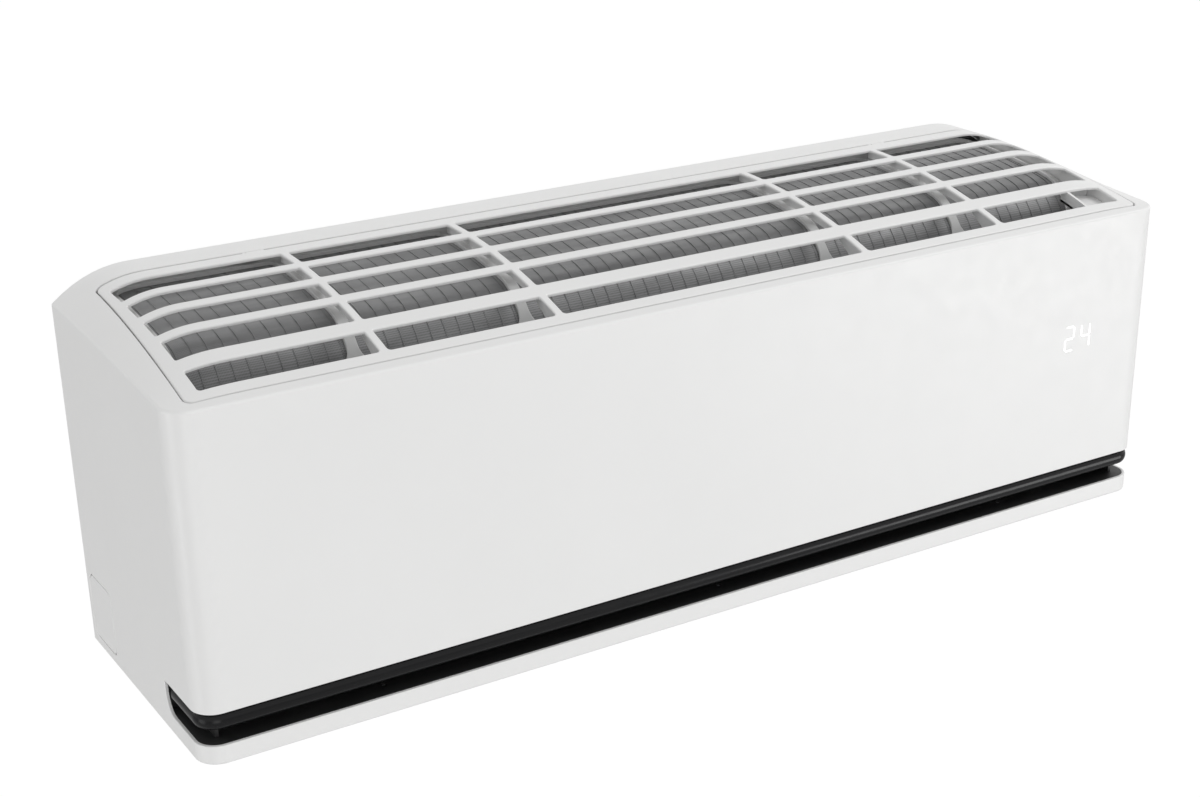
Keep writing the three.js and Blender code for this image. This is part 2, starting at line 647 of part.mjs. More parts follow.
function outletFrame() {
  const cheekDepth = SLOT_REAR_DEPTH - 4;
  const cheekFront = CEILING_FRONT[0] - 8; // behind the vane's corner when it tilts
  const cheekTop = ceilingAt(cheekFront) + DUCT_WALL;
  const rightEnd = union(
    ceilingStrip(CEILING_FRONT[0] - 21, CEILING_HALF - 5, CHEEK_X + DUCT_WALL),
    box(CHEEK_X, CHEEK_X + DUCT_WALL, cheekDepth, cheekFront, DUCT_FLOOR_Z, cheekTop),
    box(CHEEK_X, HALF, cheekDepth, cheekDepth + DUCT_WALL, DUCT_FLOOR_Z, cheekTop),
    box(CHEEK_X - 12, HALF, cheekDepth, DEPTH, DUCT_FLOOR_Z, DUCT_FLOOR_Z + DUCT_WALL),
  );
  const brackets = VANE_ARMS.map((x) => {
    const x0 = x + ARM_WIDTH / 2 + 0.5;
    const [rear, front, low] = [VANE_PIVOT[0] - 7, VANE_PIVOT[0] + 7, VANE_PIVOT[1] - 5];
    const outline = [
      [rear, low], [front, low], [front, ceilingAt(front) + 1],
      [CEILING_REAR[0] + 1, ceilingAt(CEILING_REAR[0]) + 1], [rear, low + 21],
    ];
    return alongX(polygon(outline), x0, x0 + ARM_WIDTH);
  });
  const frame = union(
    ceilingStrip(CEILING_REAR[0], -CEILING_HALF, CEILING_HALF),
    box(-HALF, HALF, CHIN_REAR_DEPTH, DEPTH, DUCT_FLOOR_Z, DUCT_FLOOR_Z + DUCT_WALL),
    rightEnd, mirrored(rightEnd), brackets,
  ).intersect(form(CHIN_WALL + GAP, CHIN_WALL + GAP, 0));
  const bore = VANE_PIN_RADIUS + RUNNING_GAP;
  const pinBores = VANE_ARMS.map((x) => rodX(VANE_PIVOT, bore, x, x + 3 * ARM_WIDTH, 12));
  const louverBores = [...louverXs, CRANK_X].flatMap((x) =>
    [-x, x].map((at) =>
      rodZ(at, LOUVER_DEPTH, LOUVER_PIN_RADIUS + RUNNING_GAP, LOUVER_LOW_Z, 2 * LOUVER_LOW_Z, 10),
    ),
  );
  const screwHoles = SCREW_XS.map((x) =>
    rodZ(x, SCREW_DEPTH, SCREW_RADIUS + RUNNING_GAP, DUCT_FLOOR_Z - 1, DUCT_FLOOR_Z + 5, 10),
  );
  return cut(frame, pinBores, louverBores, screwHoles);
}

// the vane's band: a rounded section swept round the front and both corners
function vaneBand() {
  const radius = CORNER_RADIUS - VANE_INSET;
  const end = HALF - VANE_INSET;
  const front = DEPTH - VANE_INSET;
  const right = [[end, VANE_REAR_DEPTH, 0]];
  for (let k = 0; k <= CORNER_STEPS; k++) {
    const turn = (Math.PI / 2) * (k / CORNER_STEPS);
    right.push([end - radius + radius * Math.cos(turn), front - radius + radius * Math.sin(turn), turn]);
  }
  const left = right.map(([x, depth, turn]) => [-x, depth, Math.PI - turn]);
  const middleZ = (VANE_LOW_Z + VANE_HIGH_Z) / 2;
  const halfHeight = (VANE_HIGH_Z - VANE_LOW_Z) / 2;
  const section = [[VANE_THICKNESS, VANE_HIGH_Z], [VANE_THICKNESS, VANE_LOW_Z]];
  for (let k = 0; k <= 8; k++) {
    const turn = -Math.PI / 2 + (Math.PI * k) / 8;
    section.push([VANE_BULGE * (1 - Math.cos(turn)), middleZ + halfHeight * Math.sin(turn)]);
  }
  const rings = [...left, ...right.reverse()].map(([x, depth, turn]) =>
    section.map(([inward, z]) => [x - inward * Math.cos(turn), inward * Math.sin(turn) - depth, z]),
  );
  return lofted(rings);
}

function upperVane() {
  const back = DEPTH - VANE_INSET - VANE_THICKNESS + 1;
  const arms = VANE_ARMS.map((x) => {
    const outline = [
      [VANE_PIVOT[0] - 3, VANE_PIVOT[1] - 4], [VANE_PIVOT[0] + 30, VANE_LOW_Z + 5],
      [back, VANE_LOW_Z + 2], [back, VANE_HIGH_Z - 1],
      [VANE_PIVOT[0] + 3, VANE_PIVOT[1] + 4], [VANE_PIVOT[0] - 3, VANE_PIVOT[1] + 4],
    ];
    const arm = alongX(polygon(outline), x - ARM_WIDTH / 2, x + ARM_WIDTH / 2);
    return union(arm, rodX(VANE_PIVOT, VANE_PIN_RADIUS, x, x + ARM_WIDTH * 1.5 + 1, 12));
  });
  return union(vaneBand(), arms);
}

function lowerVane() {
  const rear = LOWER_OPENING_REAR + LOWER_VANE_GAP;
  const front = CHIN_REAR_DEPTH - LOWER_VANE_GAP;
  const half = LOWER_OPENING_HALF - LOWER_VANE_GAP;
  const low = 0.5;
  const high = low + LOWER_VANE_THICKNESS;
  const shape = new THREE.Shape();
  shape.moveTo(rear, low + 1);
  shape.quadraticCurveTo(rear, low, rear + 2, low);
  shape.lineTo(front - 2, low);
  shape.quadraticCurveTo(front, low, front, low + 1.5);
  shape.quadraticCurveTo(front - 2, high - 1, front - 12, high);
  shape.lineTo(rear + 6, high);
  shape.quadraticCurveTo(rear, high, rear, low + 1);
  const panel = alongX(shape, -half, half);
  const [pivotDepth, pivotZ] = LOWER_PIVOT;
  const earOutline = [
    [rear + 3, low + 2], [pivotDepth + 22, low + 2],
    [pivotDepth + 4, pivotZ + 4], [pivotDepth - 4, pivotZ + 4],
  ];
  const ears = [-half, half - ARM_WIDTH].map((x) => alongX(polygon(earOutline), x, x + ARM_WIDTH));
  const pinEnd = END_WALL_X + CHASSIS_WALL;
  const pins = [
    rodX(LOWER_PIVOT, LOWER_PIN_RADIUS, -pinEnd, -half + 1, 12),
    rodX(LOWER_PIVOT, LOWER_PIN_RADIUS, half - 1, pinEnd, 12),
  ];
  return union(panel, ears, pins);
}

function stepMotor([depth, z], x0, length) {
  const ears = box(x0, x0 + 1.2, depth - 17, depth + 17, z - 3.5, z + 3.5);
  return union(rodX([depth, z], 12, x0, x0 + length, 20), ears);
}

function louverBlade(x) {
  const topOf = (depth) => ceilingAt(depth) - LOUVER_TOP_GAP;
  const outline = [
    [LOUVER_REAR, LOUVER_LOW_Z], [LOUVER_FRONT, LOUVER_LOW_Z],
    [LOUVER_FRONT, topOf(LOUVER_FRONT)], [LOUVER_REAR, topOf(LOUVER_REAR)],
  ];
  const half = LOUVER_THICKNESS / 2;
  return union(
    alongX(polygon(outline), x - half, x + half),
    rodZ(x, LOUVER_DEPTH, LOUVER_PIN_RADIUS, LOUVER_LOW_Z + 5, ceilingTopAt(LOUVER_DEPTH), 10),
    rodZ(x, LOUVER_TIE_DEPTH, TIE_PIN_RADIUS, TIE_LOW_Z + 0.5, LOUVER_LOW_Z + 4, 8),
  );
}

function louverCrank(x) {
  const arm = rounded(rectangle(x - 3, x + 3, LOUVER_DEPTH - 4, LOUVER_TIE_DEPTH + 3), 2.5);
  return union(
    upZ(arm, LOUVER_LOW_Z, LOUVER_LOW_Z + 3),
    rodZ(x, LOUVER_DEPTH, LOUVER_PIN_RADIUS, LOUVER_LOW_Z + 1, LOUVER_LOW_Z + 8, 10),
    rodZ(x, LOUVER_TIE_DEPTH, TIE_PIN_RADIUS, TIE_LOW_Z + 0.5, LOUVER_LOW_Z + 1, 8),
  );
}

const louverMotorLow = LOUVER_LOW_Z + 5;

function louverMotor(x) {
  const radius = 12;
  const [footRear, footFront] = [LOUVER_DEPTH - radius + 1, LOUVER_DEPTH - radius / 2];
  const bodyTop = ceilingAt(LOUVER_DEPTH + radius) - GAP;
  const body = rodZ(x, LOUVER_DEPTH, radius, louverMotorLow, bodyTop, 20);
  const foot = box(x - 6, x + 6, footRear, footFront, louverMotorLow + 2, ceilingAt(footFront) - GAP);
  const bore = LOUVER_PIN_RADIUS + RUNNING_GAP;
  const socket = rodZ(x, LOUVER_DEPTH, bore, louverMotorLow - 1, louverMotorLow + 5, 10);
  return cut(union(body, foot), socket);
}

// one bar that ties the crank to the five blades of its bank
function louverTie(side) {
  const inner = LOUVER_FIRST_X - 4;
  const outer = CRANK_X + 4;
  const outline = rounded(
    rectangle(inner, outer, LOUVER_TIE_DEPTH - TIE_WIDTH / 2, LOUVER_TIE_DEPTH + TIE_WIDTH / 2), 2,
  );
  const holes = [...louverXs, CRANK_X].map((x) =>
    rodZ(x, LOUVER_TIE_DEPTH, TIE_PIN_RADIUS + RUNNING_GAP, 0, 2 * TIE_LOW_Z, 8),
  );
  const bar = cut(upZ(outline, TIE_LOW_Z, TIE_LOW_Z + TIE_HEIGHT), holes);
  return side < 0 ? mirrored(bar) : bar;
}

// ---------------------------------------------------------------- chassis
function scrollProfile() {
  const [depth, z] = FAN_AXIS;
  const start = (120 * Math.PI) / 180;
  const end = (235 * Math.PI) / 180;
  const inner = [];
  const steps = 12;
  for (let k = 0; k <= steps; k++) {
    const turn = start + ((end - start) * k) / steps;
    const radius = FAN_RADIUS + 6 + 9 * (k / steps);
    inner.push([depth + radius * Math.cos(turn), z + radius * Math.sin(turn), turn]);
  }
  const outer = inner.map(([a, b, turn]) => [
    a + SCROLL_WALL * Math.cos(turn), b + SCROLL_WALL * Math.sin(turn),
  ]);
  const tip = [SCROLL_TIP, [SCROLL_TIP[0] - 3 * SCROLL_WALL, SCROLL_TIP[1]]];
  return polygon([...inner.map(([a, b]) => [a, b]), tip[0], tip[1], ...outer.reverse()].reverse());
}

function endWall(x0) {
  const [rear, front, foot] = [RECESS_DEPTH - 2, CEILING_REAR[0], SCROLL_TIP[1]];
  const outline = [[rear, foot], [front, foot], [front, 150], [150, 176], [80, 176], [rear, 150]];
  return alongX(polygon(outline), x0, x0 + CHASSIS_WALL);
}

function motorCradle() {
  const [depth, z] = FAN_AXIS;
  const reach = MOTOR_RADIUS + 6;
  const plates = [MOTOR_X + 5, MOTOR_X + MOTOR_LENGTH - 9].map((x) =>
    box(x, x + CHASSIS_WALL, depth - reach, depth + reach, z - reach - 8, z),
  );
  const end = MOTOR_X + MOTOR_LENGTH;
  const base = box(END_WALL_X + 1, end - 7, depth - 33, depth + 33, z - reach - 8, z - reach - 5);
  return cut(union(plates, base), rodX(FAN_AXIS, MOTOR_RADIUS + GAP, MOTOR_X, end + 5, 32));
}

function rearChassis() {
  const inner = form(WALL + CASE_CLEARANCE, WALL + CASE_CLEARANCE, 5);
  const everyX = HALF - WALL - CASE_CLEARANCE;
  const backFront = BACK_DEPTH + CHASSIS_WALL;
  const back = inner.intersect(
    box(-HALF, HALF, BACK_DEPTH, backFront, RECESS_TOP_Z - CHASSIS_WALL, CROWN_Z),
  );
  const [recessRear, recessLow] = [RECESS_DEPTH - CHASSIS_WALL, RECESS_TOP_Z - CHASSIS_WALL];
  const foot = WALL + CASE_CLEARANCE;
  const recess = polygon([
    [RECESS_DEPTH, RECESS_TOP_Z], [RECESS_DEPTH, SCROLL_TIP[1]], SCROLL_TIP, [SCROLL_TIP[0], foot],
    [recessRear, foot], [recessRear, recessLow], [BACK_DEPTH, recessLow], [BACK_DEPTH, RECESS_TOP_Z],
  ]);
  const trough = polygon(rectangle(backFront - 1, 70, TROUGH_Z, TROUGH_Z + DUCT_WALL));
  const houseEnd = -END_WALL_X - CHASSIS_WALL - 13;
  const bearingHouse = rodX(FAN_AXIS, BUSH_RADIUS + GAP + 2.5, houseEnd, -END_WALL_X - 1, 24);
  const body = union(
    back,
    alongX(recess, -everyX, everyX),
    alongX(scrollProfile(), -END_WALL_X - 1, END_WALL_X + 1),
    alongX(trough, -END_WALL_X, END_WALL_X),
    endWall(-END_WALL_X - CHASSIS_WALL), endWall(END_WALL_X),
    bearingHouse, motorCradle(),
  );
  const hookSlots = [-HOOK_X, HOOK_X].map((x) =>
    box(x - HOOK_HALF - 2, x + HOOK_HALF + 2, 0, 20, HOOK_Z - HOOK_TIP, HOOK_Z + PLATE_SHEET + GAP),
  );
  const pipeHole = box(END_WALL_X + 9, END_WALL_X + 55, backFront + 0.5, 48, RECESS_TOP_Z - 10, RECESS_TOP_Z + 5);
  const hoseHole = box(
    -END_WALL_X - 75, -END_WALL_X - 41, RECESS_DEPTH - 10, RECESS_DEPTH + 5, 14, 62,
  );
  return cut(
    body, hookSlots, pipeHole, hoseHole,
    rodX(FAN_AXIS, BUSH_RADIUS + GAP, houseEnd - 1, -END_WALL_X - 2, 24),
    rodX(FAN_AXIS, 10, -END_WALL_X - 5, -END_WALL_X + 5, 16),
    rodX(FAN_AXIS, 10, END_WALL_X - 5, END_WALL_X + 5, 16),
    rodX(LOWER_PIVOT, LOWER_PIN_RADIUS + RUNNING_GAP, -HALF + 47.5, HALF - 47.5, 12),
  );
}

function wallPlate() {
  const outline = rectangle(-PLATE_HALF, PLATE_HALF, PLATE_LOW_Z, PLATE_HIGH_Z);
  const sheet = outward(rounded(outline, 6), 0, PLATE_SHEET);
  const windows = [-270, -165, -60, 60, 165, 270].flatMap((x) =>
    [[70, 128], [182, 230]].map(([z0, z1]) =>
      outward(rounded(rectangle(x - 40, x + 40, z0, z1), 5), -1, 5),
    ),
  );
  const screwHoles = [-305, -150, 150, 305].flatMap((x) =>
    [58, 252].map((z) => outward(disc(x, z, 2.6, 10), -1, 5)),
  );
  const hooks = [-HOOK_X, HOOK_X].flatMap((x) => [
    box(x - HOOK_HALF, x + HOOK_HALF, PLATE_SHEET / 2, HOOK_REACH, HOOK_Z, HOOK_Z + PLATE_SHEET),
    box(x - HOOK_HALF, x + HOOK_HALF, HOOK_REACH - PLATE_SHEET, HOOK_REACH, HOOK_Z, HOOK_Z + HOOK_TIP),
  ]);
  const pads = [-150, 150].map((x) => box(x - 12, x + 12, PLATE_SHEET / 2, BACK_DEPTH - GAP, 145, 165));
  return union(cut(sheet, windows, screwHoles), hooks, pads);
}

// ---------------------------------------------------------------- coil, pipes and drain
// a slab's side profile: a strip of one thickness along its centre line
function slabShape([[d0, z0], [d1, z1]], thickness) {
  const run = new THREE.Vector2(d1 - d0, z1 - z0).normalize();
  const [offD, offZ] = [(-run.y * thickness) / 2, (run.x * thickness) / 2];
  return polygon([
    [d0 - offD, z0 - offZ], [d1 - offD, z1 - offZ],
    [d1 + offD, z1 + offZ], [d0 + offD, z0 + offZ],
  ]);
}

const apexDepth = (REAR_SLAB[1][0] + FRONT_SLAB[0][0]) / 2;
const kneeZ = FRONT_SLAB[1][1] + 4;
const troughTop = TROUGH_Z + DUCT_WALL + GAP;
const panFloorAt = (depth) => ceilingTopAt(depth) + GAP + PAN_WALL * Math.hypot(1, ceilingFall);
const lowerSlabFoot = panFloorAt(LOWER_SLAB[0][0] - COIL_THICKNESS / 2) + GAP;

function coilSlabs(x0, x1) {
  const far = 400;
  const rear = alongX(slabShape(REAR_SLAB, COIL_THICKNESS), x0, x1);
  const front = alongX(slabShape(FRONT_SLAB, COIL_THICKNESS), x0, x1);
  const lower = alongX(slabShape(LOWER_SLAB, COIL_THICKNESS), x0, x1);
  return {
    rear: cut(rear, box(-far, far, apexDepth - GAP / 2, far, 0, far), box(-far, far, 0, far, 0, troughTop)),
    front: cut(front, box(-far, far, 0, apexDepth + GAP / 2, 0, far), box(-far, far, 0, far, 0, kneeZ)),
    lower: cut(lower, box(-far, far, 0, far, kneeZ - GAP, far), box(-far, far, 0, far, 0, lowerSlabFoot)),
  };
}

// an end plate over all three slabs, with its return bends
function coilEnd(side) {
  const x0 = COIL_HALF + GAP;
  const x1 = x0 + COIL_PLATE;
  const { rear, front, lower } = coilSlabs(x0, x1);
  const joints = [
    alongX(disc(apexDepth, REAR_SLAB[1][1] + 2, 9, 12), x0, x1),
    alongX(disc(FRONT_SLAB[1][0] + 4, kneeZ, 9, 12), x0, x1),
  ];
  const bends = [];
  const banks = [[FRONT_SLAB, kneeZ], [LOWER_SLAB, PAN_TOP_Z + 1]];
  // the pipes leave the rear slab's right end, so its bends are on the left
  if (side < 0) banks.push([REAR_SLAB, troughTop + 2]);
  for (const [[[d0, z0], [d1, z1]], lowest] of banks) {
    const run = vec(0, -(d1 - d0), z1 - z0).normalize();
    const [topD, topZ] = z1 > z0 ? [d1, z1] : [d0, z0];
    const down = run.z > 0 ? run.negate() : run;
    for (let at = 22; topZ + down.z * (at + BEND_RADIUS) - TUBE_RADIUS > lowest; at += BEND_PITCH) {
      const middle = vec(x1 - 0.5, -topD, topZ).addScaledVector(down, at);
      const arc = Array.from({ length: 9 }, (_, k) => {
        const turn = (Math.PI * k) / 8;
        const out = vec(BEND_RADIUS * Math.sin(turn), 0, 0);
        return middle.clone().addScaledVector(down, -BEND_RADIUS * Math.cos(turn)).add(out);
      });
      bends.push(tube(arc.map((p) => [p.x, -p.y, p.z]), TUBE_RADIUS, 5, 5));
    }
  }
  const body = union(rear, front, lower, joints, bends);
  return side < 0 ? mirrored(body) : body;
}

const pipeStartX = COIL_HALF + COIL_PLATE + 2 * GAP;
// routes as (x, depth, z), with x counted from the end wall while they lie beside it
const beside = (route) => route.map(([x, depth, z]) => [END_WALL_X + x, depth, z]);
const gasRoute = [
  [pipeStartX, 50, 186],
  ...beside([[7, 50, 186], [18, 48, 176], [21, 42, 150], [21, 38, 110], [20, 37, 66], [9, 36, 44]]),
  ...beside([[-21, 34, 34], [-93, 32, 33]]), [100, 32, 33], [-60, 32, 33],
];
const liquidRoute = [
  [pipeStartX, 64, 203],
  ...beside([[9, 64, 203], [31, 60, 198], [43, 44, 176], [44, 30, 140], [43, 22, 100]]),
  ...beside([[38, 20, 74], [19, 20, 62], [-23, 20, 61]]), [100, 20, 60], [-30, 20, 60],
];

function flareNut(route, radius, length) {
  const [x, depth, z] = route[route.length - 1];
  const nut = rodX([depth, z], radius, x - GAP - length, x - GAP, 6);
  return cut(nut, rodX([depth, z], radius * 0.55, x - length - 5, x - length * 0.4, 12));
}

function drainPan() {
  const slope = (d) => ceilingTopAt(d) + GAP;
  const [inRear, inFront] = [PAN_REAR + PAN_WALL, PAN_FRONT - PAN_WALL];
  const outline = polygon([
    [PAN_REAR, slope(PAN_REAR)], [PAN_FRONT, slope(PAN_FRONT)], [PAN_FRONT, PAN_TOP_Z],
    [inFront, PAN_TOP_Z], [inFront, panFloorAt(inFront)], [inRear, panFloorAt(inRear)],
    [inRear, PAN_TOP_Z], [PAN_REAR, PAN_TOP_Z],
  ]);
  const closed = polygon([
    [PAN_REAR, slope(PAN_REAR)], [PAN_FRONT, slope(PAN_FRONT)],
    [PAN_FRONT, PAN_TOP_Z], [PAN_REAR, PAN_TOP_Z],
  ]);
  const half = END_WALL_X;
  const ends = [alongX(closed, -half, -half + PAN_WALL), alongX(closed, half - PAN_WALL, half)];
  return cut(union(alongX(outline, -half, half), ends), rodX(SPOUT, SPOUT_RADIUS, -half - 2, -half + 5, 12));
}

const drainRoute = [
  ...beside([[GAP, ...SPOUT], [23, ...SPOUT], [49, SPOUT[0] - 2, 84], [59, SPOUT[0] - 16, 76]]),
  ...beside([[59, 150, 62], [59, 90, 48], [58, 55, 38], [49, 34, 28], [22, 29, 22]]),
  [250, 29, 18], [150, 29, 16],
].map(([x, depth, z]) => [-x, depth, z]);

// ---------------------------------------------------------------- fan and motor
function fanWheel() {
  const [depth, z] = FAN_AXIS;
  const inner = FAN_RADIUS - 10;
  const polar = (radius, turn) => [depth + radius * Math.cos(turn), z + radius * Math.sin(turn)];
  const blades = Array.from({ length: FAN_BLADES }, (_, k) => {
    const turn = (2 * Math.PI * k) / FAN_BLADES;
    const outline = [
      polar(FAN_RADIUS, turn), polar(FAN_RADIUS - 0.4, turn + 0.035),
      polar(inner, turn + 0.16), polar(inner, turn + 0.12),
    ];
    return alongX(polygon(outline), -FAN_HALF + 1, FAN_HALF - 1);
  });
  const plate = (x) => rodX(FAN_AXIS, FAN_RADIUS, x - 1.5, x + 1.5, 24);
  const ring = (x) => cut(plate(x), rodX(FAN_AXIS, inner - 1, x - 5, x + 5, 24));
  return union(
    plate(-FAN_HALF + 1.5), plate(FAN_HALF - 1.5), ring(0), blades,
    rodX(FAN_AXIS, FAN_SHAFT_RADIUS, -END_WALL_X - 15, -FAN_HALF + 1, 12),
    rodX(FAN_AXIS, FAN_SHAFT_RADIUS, FAN_HALF - 1, MOTOR_X + 18, 12),
  );
}

const ringX = (outer, inner, x0, x1, sides) =>
  cut(rodX(FAN_AXIS, outer, x0, x1, sides), rodX(FAN_AXIS, inner, x0 - 1, x1 + 1, sides));

const bushEnd = -END_WALL_X - 4;
const fanBearing = () =>
  ringX(BEARING_RADIUS, FAN_SHAFT_RADIUS + RUNNING_GAP, bushEnd - 9, bushEnd - 2, 20);
const bearingRubber = () => ringX(BUSH_RADIUS, BEARING_RADIUS + GAP, bushEnd - 11, bushEnd, 24);

function fanMotor() {
  const can = union(
    rodX(FAN_AXIS, MOTOR_RADIUS, MOTOR_X + 4, MOTOR_X + MOTOR_LENGTH - 4, 32),
    rodX(FAN_AXIS, MOTOR_RADIUS - 6, MOTOR_X, MOTOR_X + MOTOR_LENGTH, 32),
  );
  return cut(can, rodX(FAN_AXIS, FAN_SHAFT_RADIUS + RUNNING_GAP, MOTOR_X - 1, MOTOR_X + 22, 12));
}

// the strap over the motor, seated on the cradle's plates
function motorClamp() {
  const [depth, z] = FAN_AXIS;
  const [x0, x1] = [MOTOR_X + 5, MOTOR_X + MOTOR_LENGTH - 6];
  const reach = MOTOR_RADIUS + 5;
  const band = cut(
    rodX(FAN_AXIS, MOTOR_RADIUS + GAP + 2, x0, x1, 32),
    rodX(FAN_AXIS, MOTOR_RADIUS + GAP, x0 - 1, x1 + 1, 32),
    box(x0 - 1, x1 + 1, depth - 80, depth + 80, z - 80, z + GAP),
  );
  const feet = [-1, 1].map((side) => {
    const [d0, d1] = span(side * (MOTOR_RADIUS + GAP + 0.2), side * reach);
    return box(x0, x1, depth + d0, depth + d1, z + GAP, z + GAP + 2);
  });
  return cut(union(band, feet), rodX(FAN_AXIS, MOTOR_RADIUS + GAP, x0 - 1, x1 + 1, 32));
}

// ---------------------------------------------------------------- electrics
function controlBox() {
  const { x0, x1, rear, front, low, high, wall } = BOX;
  const bodyFront = front - wall;
  return cut(
    box(x0, x1, rear, bodyFront, low, high),
    box(x0 + wall, x1 - wall, rear + wall, front + 5, low + wall, high - wall),
  );
}

function controlBoxCover() {
  const { x0, x1, front, low, high, wall } = BOX;
  const plate = box(x0, x1, front - wall + GAP, front, low, high);
  const block = (inside, d0, d1) =>
    box(x0 + inside, x1 - inside, d0, d1, low + inside, high - inside);
  const inside = wall + GAP;
  const spigot = cut(block(inside, front - 6, front - 1), block(2 * inside, front - 8, front - wall));
  return union(plate, spigot);
}

function circuitBoard() {
  const { x0, x1, rear, low, high, wall } = BOX;
  const seat = rear + wall + GAP;
  const board = box(x0 + 4, x1 - 4, seat + 5, seat + 6.6, low + 4, high - 4);
  const feet = [x0 + 8, x1 - 12].flatMap((x) =>
    [low + 8, high - 12].map((z) => box(x, x + 4, seat, seat + 5.5, z, z + 4)),
  );
  const top = seat + 6;
  const parts = [
    alongX(disc(seat + 12, low + 30, 6, 16), x0 + 14, x0 + 40),
    box(x0 + 50, x0 + 74, top, seat + 28, low + 16, low + 44),
    box(x0 + 14, x0 + 34, top, seat + 16, low + 56, low + 80),
    box(x0 + 44, x0 + 56, top, seat + 20, low + 60, low + 96),
    box(x0 + 14, x0 + 30, top, seat + 12, low + 96, low + 112),
    box(x0 + 62, x0 + 72, top, seat + 14, low + 84, low + 112),
  ];
  return union(board, feet, parts);
}

function terminalBlock() {
  const front = BOX.rear - GAP;
  const rear = front - 20;
  const [x0, ways, pitch, z0] = [BOX.x0 + 8, 5, 11, 180];
  const wells = Array.from({ length: ways }, (_, k) => {
    const x = x0 + 3 + pitch * k;
    return box(x, x + pitch - 3, rear - 1, rear + 7, z0 + 5, z0 + 17);
  });
  return cut(box(x0, x0 + ways * pitch + 3, rear, front, z0, z0 + 22), wells);
}

function displayBoard() {
  const { x0, x1, low, high } = DISPLAY;
  const rear = BOX.front + GAP;
  return box(x0, x1, rear, rear + 1.6, low, high);
}

function displayLens() {
  const { x0, x1, low, high } = DISPLAY;
  const rear = BOX.front + 1.6 + 2 * GAP;
  return outward(rounded(rectangle(x0 + 3, x1 - 3, low + 3, high - 3), 3), rear, DEPTH - WALL - GAP);
}

function roomSensor() {
  const z = BOX.high + GAP;
  const [x, depth] = [BOX.x0 + 26, BOX.front - 15];
  const body = box(x - 8, x + 8, depth - 7, depth + 7, z, z + 8);
  return union(body, rodZ(x, depth, 3, z + 7, z + 14, 10));
}

function serviceButton() {
  const { x, radius, top } = BUTTON;
  const depth = BUTTON_DEPTH;
  return union(
    rodZ(x, depth, radius, GAP, top, 16),
    rodZ(x, depth, radius + 2, WALL + 0.5, WALL + 2.5, 16),
  );
}

function buttonSwitch() {
  const { x, top } = BUTTON;
  const [depth, low] = [BUTTON_DEPTH, top + 1.6];
  const plate = box(x - 11, x + 11, depth - 11, depth + 11, low, low + 3);
  const legs = [-10, 8].flatMap((dx) =>
    [-10, 8].map((dd) => box(x + dx, x + dx + 2, depth + dd, depth + dd + 2, WALL + GAP, low + 1)),
  );
  return union(plate, legs);
}

// ---------------------------------------------------------------- assembly
const FINISHES = {
  white: { color: 0xe6e6e4, roughness: 0.45, metalness: 0 },
  black: { color: 0x141415, roughness: 0.4, metalness: 0 },
  vane: { color: 0x35363a, roughness: 0.35, metalness: 0 },
  net: { color: 0x55575a, roughness: 0.8, metalness: 0 },
  steel: { color: 0xb4b7ba, roughness: 0.4, metalness: 0.9 },
  fins: { color: 0x9fb7c4, roughness: 0.5, metalness: 0.7 },
  copper: { color: 0xb87347, roughness: 0.35, metalness: 0.9 },
  brass: { color: 0xb99a52, roughness: 0.35, metalness: 0.9 },
  foam: { color: 0x2d2d2d, roughness: 0.9, metalness: 0 },
  rubber: { color: 0x1d1d1d, roughness: 0.8, metalness: 0 },
  fan: { color: 0x24262a, roughness: 0.5, metalness: 0 },
  grey: { color: 0x9a9c9e, roughness: 0.55, metalness: 0 },
  board: { color: 0x1f6b3c, roughness: 0.5, metalness: 0 },
  lens: { color: 0xf2f4f6, roughness: 0.15, metalness: 0 },
};

const unit = new THREE.Group();
unit.position.z = -(PLATE_LOW_Z + PLATE_HIGH_Z) / 2;

function add(name, solid, finish) {
  const mesh = new THREE.Mesh(geometryFrom(solid), new THREE.MeshStandardMaterial(FINISHES[finish]));
  mesh.name = name;
  unit.add(mesh);
}

add("wall_plate", wallPlate(), "steel");
add("rear_chassis", rearChassis(), "grey");
add("front_case", frontCase(), "white");
add("knockout_right", knockoutPlate(), "white");
add("knockout_left", mirrored(knockoutPlate()), "white");
add("top_grille", topGrille(), "white");
add("grille_pin_left", grillePin(-HINGE_X), "steel");
add("grille_pin_right", grillePin(HINGE_X), "steel");
add("filter_frame", filterFrame(), "white");
add("filter_net", filterNet(), "net");

const slabs = coilSlabs(-COIL_HALF, COIL_HALF);
add("coil_rear", slabs.rear, "fins");
add("coil_front_upper", slabs.front, "fins");
add("coil_front_lower", slabs.lower, "fins");
add("coil_end_left", coilEnd(-1), "copper");
add("coil_end_right", coilEnd(1), "copper");
add("gas_pipe", tube(gasRoute, GAS_RADIUS, 8, 26), "foam");
add("liquid_pipe", tube(liquidRoute, LIQUID_RADIUS, 8, 26), "foam");
add("gas_flare_nut", flareNut(gasRoute, 13, 22), "brass");
add("liquid_flare_nut", flareNut(liquidRoute, 9, 18), "brass");
add("drain_pan", drainPan(), "grey");
add("drain_hose", tube(drainRoute, HOSE_RADIUS, 8, 24), "grey");

add("fan_wheel", fanWheel(), "fan");
add("fan_bearing", fanBearing(), "steel");
add("bearing_rubber", bearingRubber(), "rubber");
add("fan_motor", fanMotor(), "steel");
add("motor_clamp", motorClamp(), "grey");

